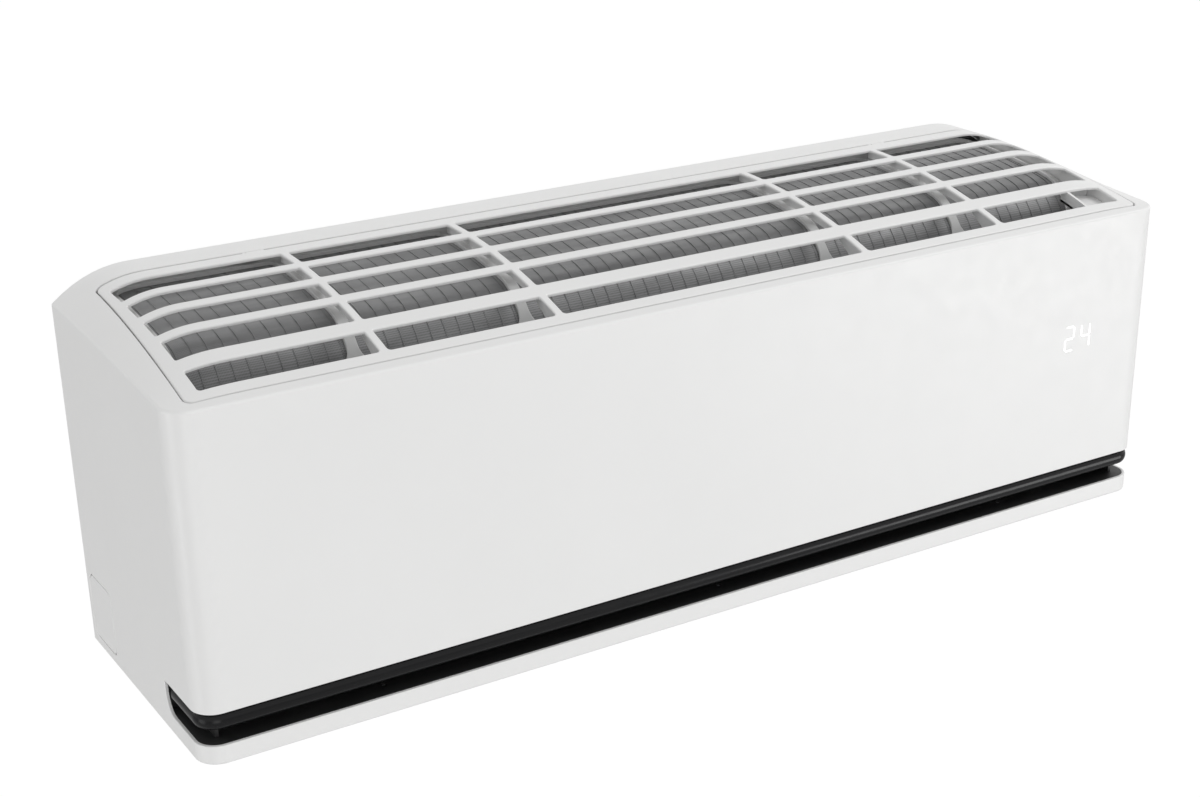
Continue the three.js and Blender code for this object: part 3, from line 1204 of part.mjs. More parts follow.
add("outlet_frame", outletFrame(), "black");
add("upper_vane", upperVane(), "vane");
const upperMotorX = VANE_ARMS[VANE_ARMS.length - 1] + ARM_WIDTH * 1.5 + 1 + GAP;
add("upper_vane_motor", stepMotor(VANE_PIVOT, upperMotorX, 16), "steel");
add("lower_vane", lowerVane(), "white");
add("lower_vane_motor", stepMotor(LOWER_PIVOT, END_WALL_X + CHASSIS_WALL + GAP, 15), "steel");

for (const [bank, side] of [["left", -1], ["right", 1]]) {
  louverXs.forEach((x, k) => add(`louver_${bank}_${k + 1}`, louverBlade(side * x), "black"));
  add(`louver_${bank}_crank`, louverCrank(side * CRANK_X), "grey");
  add(`louver_${bank}_tie`, louverTie(side), "black");
  add(`louver_${bank}_motor`, louverMotor(side * CRANK_X), "steel");
}

add("control_box", controlBox(), "grey");
add("control_box_cover", controlBoxCover(), "grey");
add("circuit_board", circuitBoard(), "board");
add("terminal_block", terminalBlock(), "black");
add("display_board", displayBoard(), "board");
add("display_lens", displayLens(), "lens");
add("room_sensor", roomSensor(), "black");
add("service_button", serviceButton(), "white");
add("button_switch", buttonSwitch(), "board");
SCREW_XS.forEach((x, k) => add(`case_screw_${k + 1}`, caseScrew(x), "steel"));

export default unit;
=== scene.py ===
# Mini split indoor unit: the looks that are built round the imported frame.
import json
import math
import bpy
import numpy as np
from mathutils import Matrix, Vector
from mathutils.geometry import convex_hull_2d, delaunay_2d_cdt


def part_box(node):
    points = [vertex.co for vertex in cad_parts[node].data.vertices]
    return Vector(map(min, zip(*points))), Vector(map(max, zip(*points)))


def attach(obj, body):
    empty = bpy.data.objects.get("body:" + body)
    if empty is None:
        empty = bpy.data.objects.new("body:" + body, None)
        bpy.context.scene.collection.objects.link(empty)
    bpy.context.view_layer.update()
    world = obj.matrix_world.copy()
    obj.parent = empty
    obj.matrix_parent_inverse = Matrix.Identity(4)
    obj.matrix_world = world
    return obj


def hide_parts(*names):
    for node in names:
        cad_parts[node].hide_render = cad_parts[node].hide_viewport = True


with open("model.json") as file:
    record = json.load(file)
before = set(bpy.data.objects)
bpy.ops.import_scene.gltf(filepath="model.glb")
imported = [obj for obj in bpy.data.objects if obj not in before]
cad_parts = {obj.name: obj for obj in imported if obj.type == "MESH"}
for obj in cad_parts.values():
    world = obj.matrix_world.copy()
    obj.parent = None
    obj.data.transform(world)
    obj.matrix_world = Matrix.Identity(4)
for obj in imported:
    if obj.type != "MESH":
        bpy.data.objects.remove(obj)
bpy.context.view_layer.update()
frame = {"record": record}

# Sizes are in millimetres. A point is (x, depth, z): x runs along the unit, depth is counted from
# the wall to the front, and z from the underside.
BASE_Z = 155  # height of the frame's origin over the underside

# ---------------------------------------------------------------- sizes
WIDTH = 895
HALF = WIDTH / 2
DEPTH = 234.95  # the lit number stands 0.05 proud of the front face
CROWN_Z = 300
SIDE_TOP_REAR_Z = 277
FRONT_TOP_Z = 264
SIDE_FALL_POWER = 1.35
BEVEL_LENGTH = 62
BEVEL_POWER = 2.2
CROWN_FLAT_DEPTH = 35
CORNER_RADIUS = 18
WALL = 2.5
TOP_FILLET = 2.5
LOW_FILLET = 2.0
RIM = 0.8

SEAM_FRONT_DEPTH = 226
SEAM_FRONT_Z = 267
SEAM_REAR_DEPTH = 29.7
SEAM_HALF_REAR = 424
SEAM_HALF_FRONT = 431
SEAM_CORNER = 6.2
SEAM_GAP = 0.8
GRILLE_REAR_DEPTH = 31.9
GRILLE_SKIN = 2.3
LEDGE_DROP = 4.3  # of the casing's lip that carries the grille's front
LEDGE_REACH = 7
GRILLE_RIM = 1.3
INTAKE_REAR_DEPTH = 47.5
INTAKE_FRONT_DEPTH = 215
INTAKE_HALF = 417.5
BARS = [(77.985, 9.5), (110.983, 9.5), (143.98, 9.5), (183.008, 14.5)]  # middle depth, width
CROSS_RIBS = [-282, -141, 141, 282]
CROSS_RIB_WIDTH = 6.5
RIB_WEB = 3  # the upright web under each cross rib
RIB_WEB_DROP = 8
RIB_WEB_FRONT_DROP = 14
RIB_WEB_RUN = 14  # depth over which the web comes down to it
WINDOW_CORNER = 1.6
FRONT_CORNER = 2.6  # the corners along the front border are softer
HINGE_DEPTH = 31.5
HINGE_Z = 298.5
HINGE_X = 300
KNUCKLE_LENGTH = 12
KNUCKLE_RADIUS = 1.5

FILTER_LEFT, FILTER_RIGHT = -418.7, 418.7
FILTER_REAR_DEPTH, FILTER_FRONT_DEPTH = 24, 176
POCKET_LEFT = 381.3
POCKET_DROP = 11  # of the pocket's floor, at the right end of the front row
POCKET_FLOOR = 2
CLIPS = [(INTAKE_REAR_DEPTH - 9.5, INTAKE_REAR_DEPTH - 1.5), (FILTER_FRONT_DEPTH - 26, FILTER_FRONT_DEPTH)]
CLIP_WALL = 2.5
CLIP_GAP = 0.3
CLIP_LIP = 2
END_LIP = (2.4, 4.4)  # the grille's inner lip, counted outwards from the intake's end
END_LIP_DROP = 15
FILTER_CURVE_DEPTH = 135
FILTER_DROP = 9
FILTER_TILT = 0.03
FILTER_CURVE = 0.022
FILTER_FRAME = 3
FILTER_NET = 0.9
FILTER_BORDER = 9
FILTER_STRUT = 9
FILTER_PANEL_CORNER = 7
FOLD_PITCH = 11.75  # the net's faint pressed lines
FOLD_WIDTH = 0.8
FOLD_HEIGHT = 0.5

SLOT_LOW_Z, SLOT_HIGH_Z = 15, 40
SLOT_REAR_DEPTH = 166
SLOT_REAR_RADIUS = 15
CHIN_REAR_DEPTH = 203
CHEEK_X = 430
DUCT_FLOOR_Z = 12.5
LOWER_OPENING = (132, 203, 340)  # rear depth, front depth, half length
VANE_LOW_Z, VANE_HIGH_Z = 26, 39.2
VANE_BULGE = 5
VANE_INSET = 0.8
VANE_THICKNESS = 7
VANE_REAR_DEPTH = 176
VANE_PIVOT = (170, 42)
VANE_ARMS = [-369, -181, 0, 181, 369]
KNOCKOUT = (6, 56, 8, 62, 8)  # rear, front, low, high, corner radius
BUTTON = (424, 150, 4.3)  # x, depth, radius of its hole
SCREWS = [(x, 217, 3.7) for x in (-300, 0, 300)]
SCREW_BOSS_RADIUS = 5
DIGITS = (346.8, 149.6, 24.0)  # left end, foot and height of the lit number

CROWN_ARC = ((SEAM_FRONT_DEPTH - CROWN_FLAT_DEPTH) ** 2 + (CROWN_Z - SEAM_FRONT_Z) ** 2) / (
    2 * (CROWN_Z - SEAM_FRONT_Z)
)


# ---------------------------------------------------------------- form of the top
def crown_at(depth):
    """Height of the top along the unit's middle."""
    if depth <= CROWN_FLAT_DEPTH:
        return CROWN_Z
    if depth <= SEAM_FRONT_DEPTH:
        return CROWN_Z - CROWN_ARC + math.sqrt(CROWN_ARC**2 - (depth - CROWN_FLAT_DEPTH) ** 2)
    share = (depth - SEAM_FRONT_DEPTH) / (DEPTH - SEAM_FRONT_DEPTH)
    return SEAM_FRONT_Z + (FRONT_TOP_Z - SEAM_FRONT_Z) * share


def top_at(x, depth):
    """Height of the top anywhere: the crown, falling to the end faces over the bevel."""
    fall = (max(depth, 0) / DEPTH) ** SIDE_FALL_POWER
    side = SIDE_TOP_REAR_Z - (SIDE_TOP_REAR_Z - FRONT_TOP_Z) * fall
    share = max(0, 1 - (HALF - abs(x)) / BEVEL_LENGTH)
    return crown_at(depth) - (crown_at(depth) - side) * share**BEVEL_POWER


def filter_drop(depth):
    """How far the filter's top lies below the casing's top."""
    past = max(0, depth - FILTER_CURVE_DEPTH)
    return FILTER_DROP + FILTER_TILT * max(0, depth - INTAKE_REAR_DEPTH) + FILTER_CURVE * past**2


def on_top(drop=lambda depth: 0):
    """Places points of a plan (x, depth) on the top, lowered by drop."""

    def height(x, depth):
        return top_at(x, depth) - drop(depth)

    def place(x, depth, inward):
        step = 0.05
        along_x = (height(x + step, depth) - height(x - step, depth)) / (2 * step)
        along_depth = (height(x, depth + step) - height(x, depth - step)) / (2 * step)
        normal = Vector((-along_x, -along_depth, 1)).normalized()
        point = Vector((x, depth, height(x, depth) - inward))
        return point, normal, Vector((1, 0, along_x)).normalized(), Vector((0, 1, along_depth)).normalized()

    return place


# ---------------------------------------------------------------- outline of the casing in plan
SIDE_RUN = DEPTH - CORNER_RADIUS
ARC_RUN = CORNER_RADIUS * math.pi / 2
FRONT_RUN = WIDTH - 2 * CORNER_RADIUS
OUTLINE_RUN = 2 * (SIDE_RUN + ARC_RUN) + FRONT_RUN


def outline_at(run):
    """Point and outward normal of the plan, run mm along it from its right rear end."""
    if run > OUTLINE_RUN / 2:
        (x, depth), (nx, nd) = outline_at(OUTLINE_RUN - run)
        return (-x, depth), (-nx, nd)
    if run <= SIDE_RUN:
        return (HALF, run), (1, 0)
    if run <= SIDE_RUN + ARC_RUN:
        turn = (run - SIDE_RUN) / CORNER_RADIUS
        nx, nd = math.cos(turn), math.sin(turn)
        centre = (HALF - CORNER_RADIUS, SIDE_RUN)
        return (centre[0] + CORNER_RADIUS * nx, centre[1] + CORNER_RADIUS * nd), (nx, nd)
    return (HALF - CORNER_RADIUS - (run - SIDE_RUN - ARC_RUN), DEPTH), (0, 1)


def on_wall(run, z, inward):
    """Places points of the unrolled wall (run, z)."""
    (x, depth), (nx, nd) = outline_at(run)
    normal = Vector((nx, nd, 0))
    point = Vector((x - nx * inward, depth - nd * inward, z))
    return point, normal, Vector((-nd, nx, 0)), Vector((0, 0, 1))


def on_bottom(x, depth, inward):
    return Vector((x, depth, inward)), Vector((0, 0, -1)), Vector((1, 0, 0)), Vector((0, 1, 0))


def outline_runs(start=0.0, end=OUTLINE_RUN):
    """Places along the outline, close together round the corners."""
    runs = {start, end}
    for mirror in (lambda run: run, lambda run: OUTLINE_RUN - run):
        runs |= {mirror(SIDE_RUN * k / 18) for k in range(19)}
        runs |= {mirror(SIDE_RUN + ARC_RUN * k / 16) for k in range(17)}
    runs |= {SIDE_RUN + ARC_RUN + FRONT_RUN * k / 40 for k in range(41)}
    ordered = sorted(run for run in runs if start <= run <= end)
    return [run for k, run in enumerate(ordered) if k == 0 or run - ordered[k - 1] > 1e-3]


def edge_fall(run):
    """Angle at which the top leaves the casing's upper edge."""
    (x, depth), (nx, nd) = outline_at(run)
    step = 0.5
    inner = top_at(x - nx * step, depth - nd * step)
    return math.atan((inner - top_at(x, depth)) / step)


# ---------------------------------------------------------------- plane outlines
def rounded(corners, radius, step=1.0):
    """A closed outline whose corners are rounded; radius is one number or one for each corner."""
    count = len(corners)
    radii = radius if isinstance(radius, (list, tuple)) else [radius] * count
    points = []
    for k, corner in enumerate(corners):
        here = Vector(corner)
        before = (Vector(corners[k - 1]) - here).normalized()
        after = (Vector(corners[(k + 1) % count]) - here).normalized()
        half = before.angle(after) / 2
        reach = radii[k] / math.tan(half)
        centre = here + (before + after).normalized() * radii[k] / math.sin(half)
        start, end = here + before * reach - centre, here + after * reach - centre
        steps = max(4, int(radii[k] * (math.pi - 2 * half) / step))
        for i in range(steps + 1):
            mix = start.lerp(end, i / steps)
            angle = start.angle(end) * i / steps if radii[k] else 0
            turned = start * math.cos(angle) + (end - start * start.dot(end) / radii[k] ** 2).normalized() * (
                radii[k] * math.sin(angle)
            )
            points.append(tuple(centre + (turned if radii[k] else mix)))
    return points


def rectangle(a0, a1, b0, b1):
    return [(a0, b0), (a1, b0), (a1, b1), (a0, b1)]


def disc(a, b, radius, sides=32):
    turns = [2 * math.pi * k / sides for k in range(sides)]
    return [(a + radius * math.cos(turn), b + radius * math.sin(turn)) for turn in turns]


def dense(points, step, closed=True):
    """The same outline with its long lines divided."""
    result = []
    ends = points[1:] + points[:1] if closed else points[1:]
    for (a, b), (c, d) in zip(points, ends):
        pieces = max(1, math.ceil(math.hypot(c - a, d - b) / step))
        result += [(a + (c - a) * k / pieces, b + (d - b) * k / pieces) for k in range(pieces)]
    return result if closed else result + [points[-1]]


def area(points):
    ends = points[1:] + points[:1]
    return sum(a * d - b * c for (a, b), (c, d) in zip(points, ends)) / 2


def outward_of(points):
    """Unit vectors that point out of a closed outline, one for each point."""
    sign = 1 if area(points) > 0 else -1
    result = []
    for k in range(len(points)):
        before, after = points[k - 1], points[(k + 1) % len(points)]
        along = Vector((after[0] - before[0], after[1] - before[1])).normalized()
        result.append(Vector((along.y, -along.x)) * sign)
    return result


def inside(points, outline):
    """Which of the points lie inside a closed outline."""
    px, py = points[:, 0][:, None], points[:, 1][:, None]
    start = np.array(outline)
    end = np.roll(start, -1, axis=0)
    crosses = (start[:, 1] > py) != (end[:, 1] > py)
    rise = np.where(end[:, 1] == start[:, 1], 1e-12, end[:, 1] - start[:, 1])
    at = start[:, 0] + (py - start[:, 1]) / rise * (end[:, 0] - start[:, 0])
    return (np.sum(crosses & (px < at), axis=1) % 2) == 1


# ---------------------------------------------------------------- skins
def placed(point):
    return Vector((point[0], -point[1], point[2] - BASE_Z)) / 1000


class Skin:
    """Patches whose points carry their own normals, so that they join without a crease."""

    def __init__(self):
        self.points, self.normals, self.faces = [], [], []

    def patch(self, points, normals, faces):
        start = len(self.points)
        self.points += [Vector(point) for point in points]
        self.normals += [Vector(normal).normalized() for normal in normals]
        self.faces += [[start + k for k in face] for face in faces]

    def rows(self, rows, closed=False):
        """A grid of (point, normal) pairs; closed joins the ends of each row."""
        count = len(rows[0])
        faces = []
        for i in range(len(rows) - 1):
            for j in range(count if closed else count - 1):
                k = (j + 1) % count
                faces.append([i * count + j, i * count + k, (i + 1) * count + k, (i + 1) * count + j])
        self.patch([p for row in rows for p, n in row], [n for row in rows for p, n in row], faces)

    def mesh(self, name):
        points = [placed(point) for point in self.points]
        normals = [Vector((n.x, -n.y, n.z)) for n in self.normals]
        faces = []
        for face in self.faces:
            middle = sum((normals[k] for k in face), Vector())
            across = Vector()
            for k in range(1, len(face) - 1):
                a, b, c = points[face[0]], points[face[k]], points[face[k + 1]]
                across += (b - a).cross(c - a)
            if across.length > 1e-14:
                faces.append(face if across.dot(middle) > 0 else face[::-1])
        mesh = bpy.data.meshes.new(name)
        mesh.from_pydata(points, [], faces, shade_flat=False)
        mesh.normals_split_custom_set_from_vertices(normals)
        return mesh


def piece(name, skin, material, body, replaces=()):
    obj = bpy.data.objects.new(name, skin.mesh(name))
    bpy.context.scene.collection.objects.link(obj)
    obj.data.materials.append(material)
    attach(obj, body)
    if replaces:
        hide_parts(*replaces)
    return obj


def sheet(skin, place, outer, holes=(), rim=RIM, thick=WALL, spacing=12, rimmed=True, raw=()):
    """A plate over a plane outline, with rounded rims; raw are edges that are cut square."""
    loops = []
    for k, loop in enumerate([outer, *holes]):
        keeps = k == 0 and not rimmed
        away = outward_of(loop) if k == 0 else [-out for out in outward_of(loop)]
        edge = [Vector(point) for point in loop]
        drawn = edge if keeps else [point - out * rim for point, out in zip(edge, away)]
        loops.append((keeps, edge, away, drawn))
    coords, edges = [], []
    for _, _, _, drawn in loops:
        start, count = len(coords), len(drawn)
        coords += [tuple(point) for point in drawn]
        edges += [(start + k, start + (k + 1) % count) for k in range(count)]
    outlines = [[tuple(point) for point in drawn] for _, _, _, drawn in loops]
    fixed = np.array(coords)
    low, high = fixed.min(0), fixed.max(0)
    grid = np.array([
        (low[0] + spacing * (i + 0.5 * (j % 2)), low[1] + spacing * j)
        for i in range(1, int((high[0] - low[0]) / spacing) + 1)
        for j in range(1, int((high[1] - low[1]) / spacing) + 1)
    ]).reshape(-1, 2)
    if len(grid):
        keep = inside(grid, outlines[0])
        for hole in outlines[1:]:
            keep &= ~inside(grid, hole)
        grid = grid[keep]
        far = [np.min(np.hypot(*(fixed - point).T)) > 0.45 * spacing for point in grid]
        coords += [tuple(point) for point in grid[np.array(far, bool)]] if len(grid) else []
    verts, _, faces, *_ = delaunay_2d_cdt([Vector(c) for c in coords], edges, [], 0, 1e-5)
    middles = np.array([np.mean([verts[k] for k in face], axis=0) for face in faces])
    keep = inside(middles, outlines[0])
    for hole in outlines[1:]:
        keep &= ~inside(middles, hole)
    faces = [face for face, kept in zip(faces, keep) if kept]
    face_up = [place(u, v, 0) for u, v in verts]
    skin.patch([p for p, *_ in face_up], [n for _, n, *_ in face_up], faces)
    under = [place(u, v, thick) for u, v in verts]
    skin.patch([p for p, *_ in under], [-n for _, n, *_ in under], faces)
    for keeps, edge, away, drawn in loops:
        if not keeps:
            rim_rows(skin, place, edge, away, drawn, rim, thick)
    for line, direction in raw:
        ends = [[], []]
        for u, v in line:
            for row, inward in zip(ends, (0, thick)):
                row.append((place(u, v, inward)[0], Vector(direction)))
        skin.rows(ends)


def rim_rows(skin, place, edge, away, drawn, rim, thick, steps=4):
    """A rounded rim, the wall under it and the strip that joins it to the underside."""
    rows = []
    for k in range(steps + 1):
        turn = math.pi / 2 * k / steps
        row = []
        for base, out in zip(drawn, away):
            u, v = base + out * rim * math.sin(turn)
            point, normal, along_u, along_v = place(u, v, rim * (1 - math.cos(turn)))
            side = (along_u * out.x + along_v * out.y).normalized()
            row.append((point, normal * math.cos(turn) + side * math.sin(turn)))
        rows.append(row)
    skin.rows(rows, closed=True)
    wall, lip = [[], []], [[], []]
    for base, full, out in zip(drawn, edge, away):
        u, v = full
        _, normal, along_u, along_v = place(u, v, 0)
        side = (along_u * out.x + along_v * out.y).normalized()
        wall[0].append((place(u, v, rim)[0], side))
        wall[1].append((place(u, v, thick)[0], side))
        lip[0].append((place(u, v, thick)[0], -normal))
        lip[1].append((place(base.x, base.y, thick)[0], -normal))
    skin.rows(wall, closed=True)
    skin.rows(lip, closed=True)


def prism(skin, outline, axis, start, end, chamfer=0.3):
    """An outline drawn out along x ("x": depth, z), depth ("d": x, z) or z ("z": x, depth)."""
    to_point = {
        "x": lambda a, b, t: (t, a, b), "d": lambda a, b, t: (a, t, b), "z": lambda a, b, t: (a, b, t),
    }[axis]
    count = len(outline)
    away = outward_of(outline)
    inner = [(a - out.x * chamfer, b - out.y * chamfer) for (a, b), out in zip(outline, away)]
    rings = [(inner, start), (outline, start + chamfer), (outline, end - chamfer), (inner, end)]
    points = [to_point(a, b, t) for ring, t in rings for a, b in ring]
    middle = sum((Vector(point) for point in points), Vector()) / len(points)
    faces = [list(range(count)), list(range(3 * count, 4 * count))]
    for ring in range(3):
        for k in range(count):
            a, b = ring * count + k, ring * count + (k + 1) % count
            faces.append([a, b, b + count, a + count])
    for face in faces:
        corners = [Vector(points[k]) for k in face]
        normal = Vector()
        for k in range(1, len(corners) - 1):
            normal += (corners[k] - corners[0]).cross(corners[k + 1] - corners[0])
        if face in faces[:2]:
            out = Vector(to_point(0, 0, -1 if face is faces[0] else 1))
        else:
            k = face[0] % count
            mid = (away[k] + away[(k + 1) % count]) / 2
            out = Vector(to_point(mid.x, mid.y, 0))
        skin.patch(corners, [normal if normal.dot(out) > 0 else -normal] * len(corners),
                   [list(range(len(corners)))])


def block(skin, x0, x1, d0, d1, z0, z1, chamfer=0.3):
    prism(skin, rectangle(x0, x1, d0, d1), "z", z0, z1, chamfer)


def layer(skin, x0, x1, d0, d1, upper, lower, step=6):
    """A bar between two drops below the top; each drop is a length or a function of depth."""
    drops = [drop if callable(drop) else (lambda depth, drop=drop: drop) for drop in (upper, lower)]
    count = max(2, round((d1 - d0) / step) + 1)
    xs = dense([(x0, 0), (x1, 0)], step, closed=False)
    depths = [d0 + (d1 - d0) * k / (count - 1) for k in range(count)]
    for drop, sign in zip(drops, (1, -1)):
        place = on_top(drop)
        grid = [[place(x, depth, 0) for x, _ in xs] for depth in depths]
        skin.rows([[(p, n * sign) for p, n, *_ in row] for row in grid])
    for x, sign in ((x0, -1), (x1, 1)):
        side = [[(Vector((x, depth, top_at(x, depth) - drop(depth))), Vector((sign, 0, 0)))
                 for depth in depths] for drop in drops]
        skin.rows(side)
    for depth, sign in ((d0, -1), (d1, 1)):
        side = [[(Vector((x, depth, top_at(x, depth) - drop(depth))), Vector((0, sign, 0)))
                 for x, _ in xs] for drop in drops]
        skin.rows(side)


def smooth_route(points, per_span=10):
    """Points on a smooth curve through the given ones."""
    line = [Vector(point) for point in points]
    line = [2 * line[0] - line[1], *line, 2 * line[-1] - line[-2]]
    result = []
    for a, b, c, d in zip(line, line[1:], line[2:], line[3:]):
        for k in range(per_span):
            t = k / per_span
            result.append(0.5 * (2 * b + (c - a) * t + (2 * a - 5 * b + 4 * c - d) * t**2
                                 + (3 * b - a - 3 * c + d) * t**3))
    return [*result, line[-2]]


def sweep(skin, route, radius_at, sides=20):
    """A round tube along a route; radius_at gives its radius by the length run."""
    up = Vector((0.1, 0.2, 1)).normalized()
    rows, run = [], 0.0
    for k, point in enumerate(route):
        along = (route[min(k + 1, len(route) - 1)] - route[max(k - 1, 0)]).normalized()
        side = along.cross(up).normalized()
        up = side.cross(along).normalized()
        if k:
            run += (point - route[k - 1]).length
        ring = []
        for j in range(sides):
            turn = 2 * math.pi * j / sides
            out = side * math.cos(turn) + up * math.sin(turn)
            ring.append((point + out * radius_at(run), out))
        rows.append(ring)
    skin.rows(rows, closed=True)
    for ring, along in ((rows[0], route[0] - route[1]), (rows[-1], route[-1] - route[-2])):
        skin.patch([p for p, _ in ring], [along] * sides, [list(range(sides))])


# ---------------------------------------------------------------- materials
class Nodes:
    """Short calls for a material's nodes."""

    def __init__(self, name):
        self.material = bpy.data.materials.new(name)
        self.material.use_nodes = True
        self.tree = self.material.node_tree
        self.shader = self.tree.nodes["Principled BSDF"]
        self.coords = self.tree.nodes.new("ShaderNodeTexCoord").outputs["Object"]

    def new(self, kind, inputs=None, **settings):
        node = self.tree.nodes.new(kind)
        for key, value in settings.items():
            setattr(node, key, value)
        for key, value in (inputs or {}).items():
            if isinstance(value, bpy.types.NodeSocket):
                self.tree.links.new(value, node.inputs[key])
            else:
                node.inputs[key].default_value = value
        return node

    def link(self, output, socket):
        self.tree.links.new(output, self.shader.inputs[socket])

    def noise(self, scale, detail=3.0, stretch=(1, 1, 1)):
        place = self.new("ShaderNodeMapping", {"Vector": self.coords, "Scale": stretch})
        inputs = {"Vector": place.outputs[0], "Scale": scale, "Detail": detail}
        return self.new("ShaderNodeTexNoise", inputs).outputs["Fac"]

    def wave(self, period, direction="X", profile="SIN"):
        """Even bands, one for each period in metres."""
        inputs = {"Vector": self.coords, "Scale": math.pi / 10 / period}
        settings = {"bands_direction": direction, "wave_profile": profile}
        return self.new("ShaderNodeTexWave", inputs, **settings).outputs["Fac"]

    def range(self, value, low, high, start=0.0, end=1.0):
        inputs = {"Value": value, "From Min": start, "From Max": end, "To Min": low, "To Max": high}
        return self.new("ShaderNodeMapRange", inputs).outputs["Result"]

    def mix(self, factor, first, second):
        """Two colours, mixed by a factor."""
        node = self.tree.nodes.new("ShaderNodeMix")
        node.data_type = "RGBA"
        for socket, value in zip((node.inputs[0], node.inputs[6], node.inputs[7]), (factor, first, second)):
            if isinstance(value, bpy.types.NodeSocket):
                self.tree.links.new(value, socket)
            else:
                socket.default_value = value
        return node.outputs[2]

    def bump(self, height, strength, distance):
        inputs = {"Height": height, "Strength": strength, "Distance": distance}
        return self.new("ShaderNodeBump", inputs).outputs["Normal"]


def shade(color, factor):
    return tuple(min(1, channel * factor) for channel in color) + (1,)


def surface(name, color, rough, metal=0.0, grain=1400, grain_strength=0.06, mottle=0.03,
            wear=0.0, stretch=(1, 1, 1), **sockets):
    """A moulded or metal surface: fine grain, uneven gloss, slight mottling and worn edges."""
    nodes = Nodes(name)
    tint = nodes.range(nodes.noise(9, 4), 0, 1, 0.3, 0.7)
    base = nodes.mix(tint, shade(color, 1 - mottle), shade(color, 1 + mottle))
    if wear:
        pointed = nodes.new("ShaderNodeNewGeometry").outputs["Pointiness"]
        edge = nodes.range(pointed, 0, 1, 0.515, 0.56)
        base = nodes.mix(edge, base, shade([c + (1 - c) * wear for c in color], 1))
    nodes.link(base, "Base Color")
    nodes.link(nodes.range(nodes.noise(55, 3, stretch), rough - 0.05, rough + 0.05, 0.3, 0.7), "Roughness")
    fine = nodes.noise(grain, 2, stretch)
    nodes.link(nodes.bump(fine, grain_strength, 0.0002), "Normal")
    nodes.shader.inputs["Metallic"].default_value = metal
    for socket, value in sockets.items():
        nodes.shader.inputs[socket.replace("_", " ")].default_value = value
    return nodes.material


def net_material():
    """A woven net: crossing threads over a darker ground, with a soft sheen."""
    nodes = Nodes("filter_net")
    across, along = nodes.wave(0.0011, "X"), nodes.wave(0.0011, "Y")
    thread = nodes.new("ShaderNodeMath", {0: across, 1: along}, operation="MAXIMUM").outputs[0]
    patchy = nodes.range(nodes.noise(14, 4), 0.9, 1.1, 0.3, 0.7)
    shaded = nodes.new("ShaderNodeMath", {0: thread, 1: patchy}, operation="MULTIPLY").outputs[0]
    drawn = nodes.range(nodes.noise(90, 3, (0.12, 1, 1)), 0, 1, 0.35, 0.65)
    dark = nodes.mix(drawn, (0.05, 0.05, 0.051, 1), (0.09, 0.09, 0.091, 1))
    light = nodes.mix(drawn, (0.2, 0.201, 0.204, 1), (0.3, 0.301, 0.304, 1))
    nodes.link(nodes.mix(shaded, dark, light), "Base Color")
    nodes.link(nodes.range(nodes.noise(40), 0.34, 0.5, 0.3, 0.7), "Roughness")
    nodes.link(nodes.bump(thread, 0.1, 0.0002), "Normal")
    for socket, value in (("Specular IOR Level", 0.8), ("Sheen Weight", 0.35), ("Sheen Roughness", 0.4)):
        nodes.shader.inputs[socket].default_value = value
    return nodes.material


def foam_material():
    nodes = Nodes("pipe_foam")
    cells = nodes.noise(900, 4)
    nodes.link(nodes.mix(cells, (0.012, 0.012, 0.012, 1), (0.05, 0.05, 0.052, 1)), "Base Color")
    nodes.link(nodes.range(nodes.noise(120), 0.8, 0.95), "Roughness")
    nodes.link(nodes.bump(cells, 0.6, 0.0008), "Normal")
    return nodes.material


def board_material():
    """Solder mask with faint traces."""
    nodes = Nodes("board_green")
    place = nodes.new("ShaderNodeMapping", {"Vector": nodes.coords, "Scale": (1, 0.001, 1)}).outputs[0]
    traces = nodes.new(
        "ShaderNodeTexVoronoi", {"Vector": place, "Scale": 160.0}, distance="CHEBYCHEV", feature="F1",
    ).outputs["Distance"]
    line = nodes.range(traces, 1, 0, 0.28, 0.34)
    nodes.link(nodes.mix(line, (0.012, 0.12, 0.04, 1), (0.02, 0.19, 0.07, 1)), "Base Color")
    nodes.link(nodes.range(nodes.noise(80), 0.25, 0.4), "Roughness")
    nodes.link(nodes.bump(line, 0.2, 0.0001), "Normal")
    return nodes.material


def fins_material():
    """Coated fins: each with its own tone, and faint streaks along it."""
    nodes = Nodes("coil_fins")
    streak = nodes.noise(60, 4, (14, 1, 1))
    tone = nodes.mix(nodes.range(streak, 0, 1, 0.3, 0.7), (0.26, 0.37, 0.45, 1), (0.42, 0.55, 0.63, 1))
    nodes.link(tone, "Base Color")
    nodes.link(nodes.range(nodes.noise(200), 0.32, 0.5), "Roughness")
    nodes.link(nodes.bump(nodes.wave(0.0026, "Z"), 0.3, 0.0003), "Normal")
    nodes.shader.inputs["Metallic"].default_value = 0.6
    return nodes.material


def lit_material():
    """The number shines through the panel; it is a little uneven, as a light guide is."""
    nodes = Nodes("lit_number")
    glow = nodes.mix(nodes.noise(500), (0.95, 0.98, 1, 1), (1, 1, 1, 1))
    nodes.link(glow, "Base Color")
    nodes.link(glow, "Emission Color")
    nodes.link(nodes.range(nodes.noise(400), 0.3, 0.4), "Roughness")
    nodes.shader.inputs["Emission Strength"].default_value = 0.9
    return nodes.material


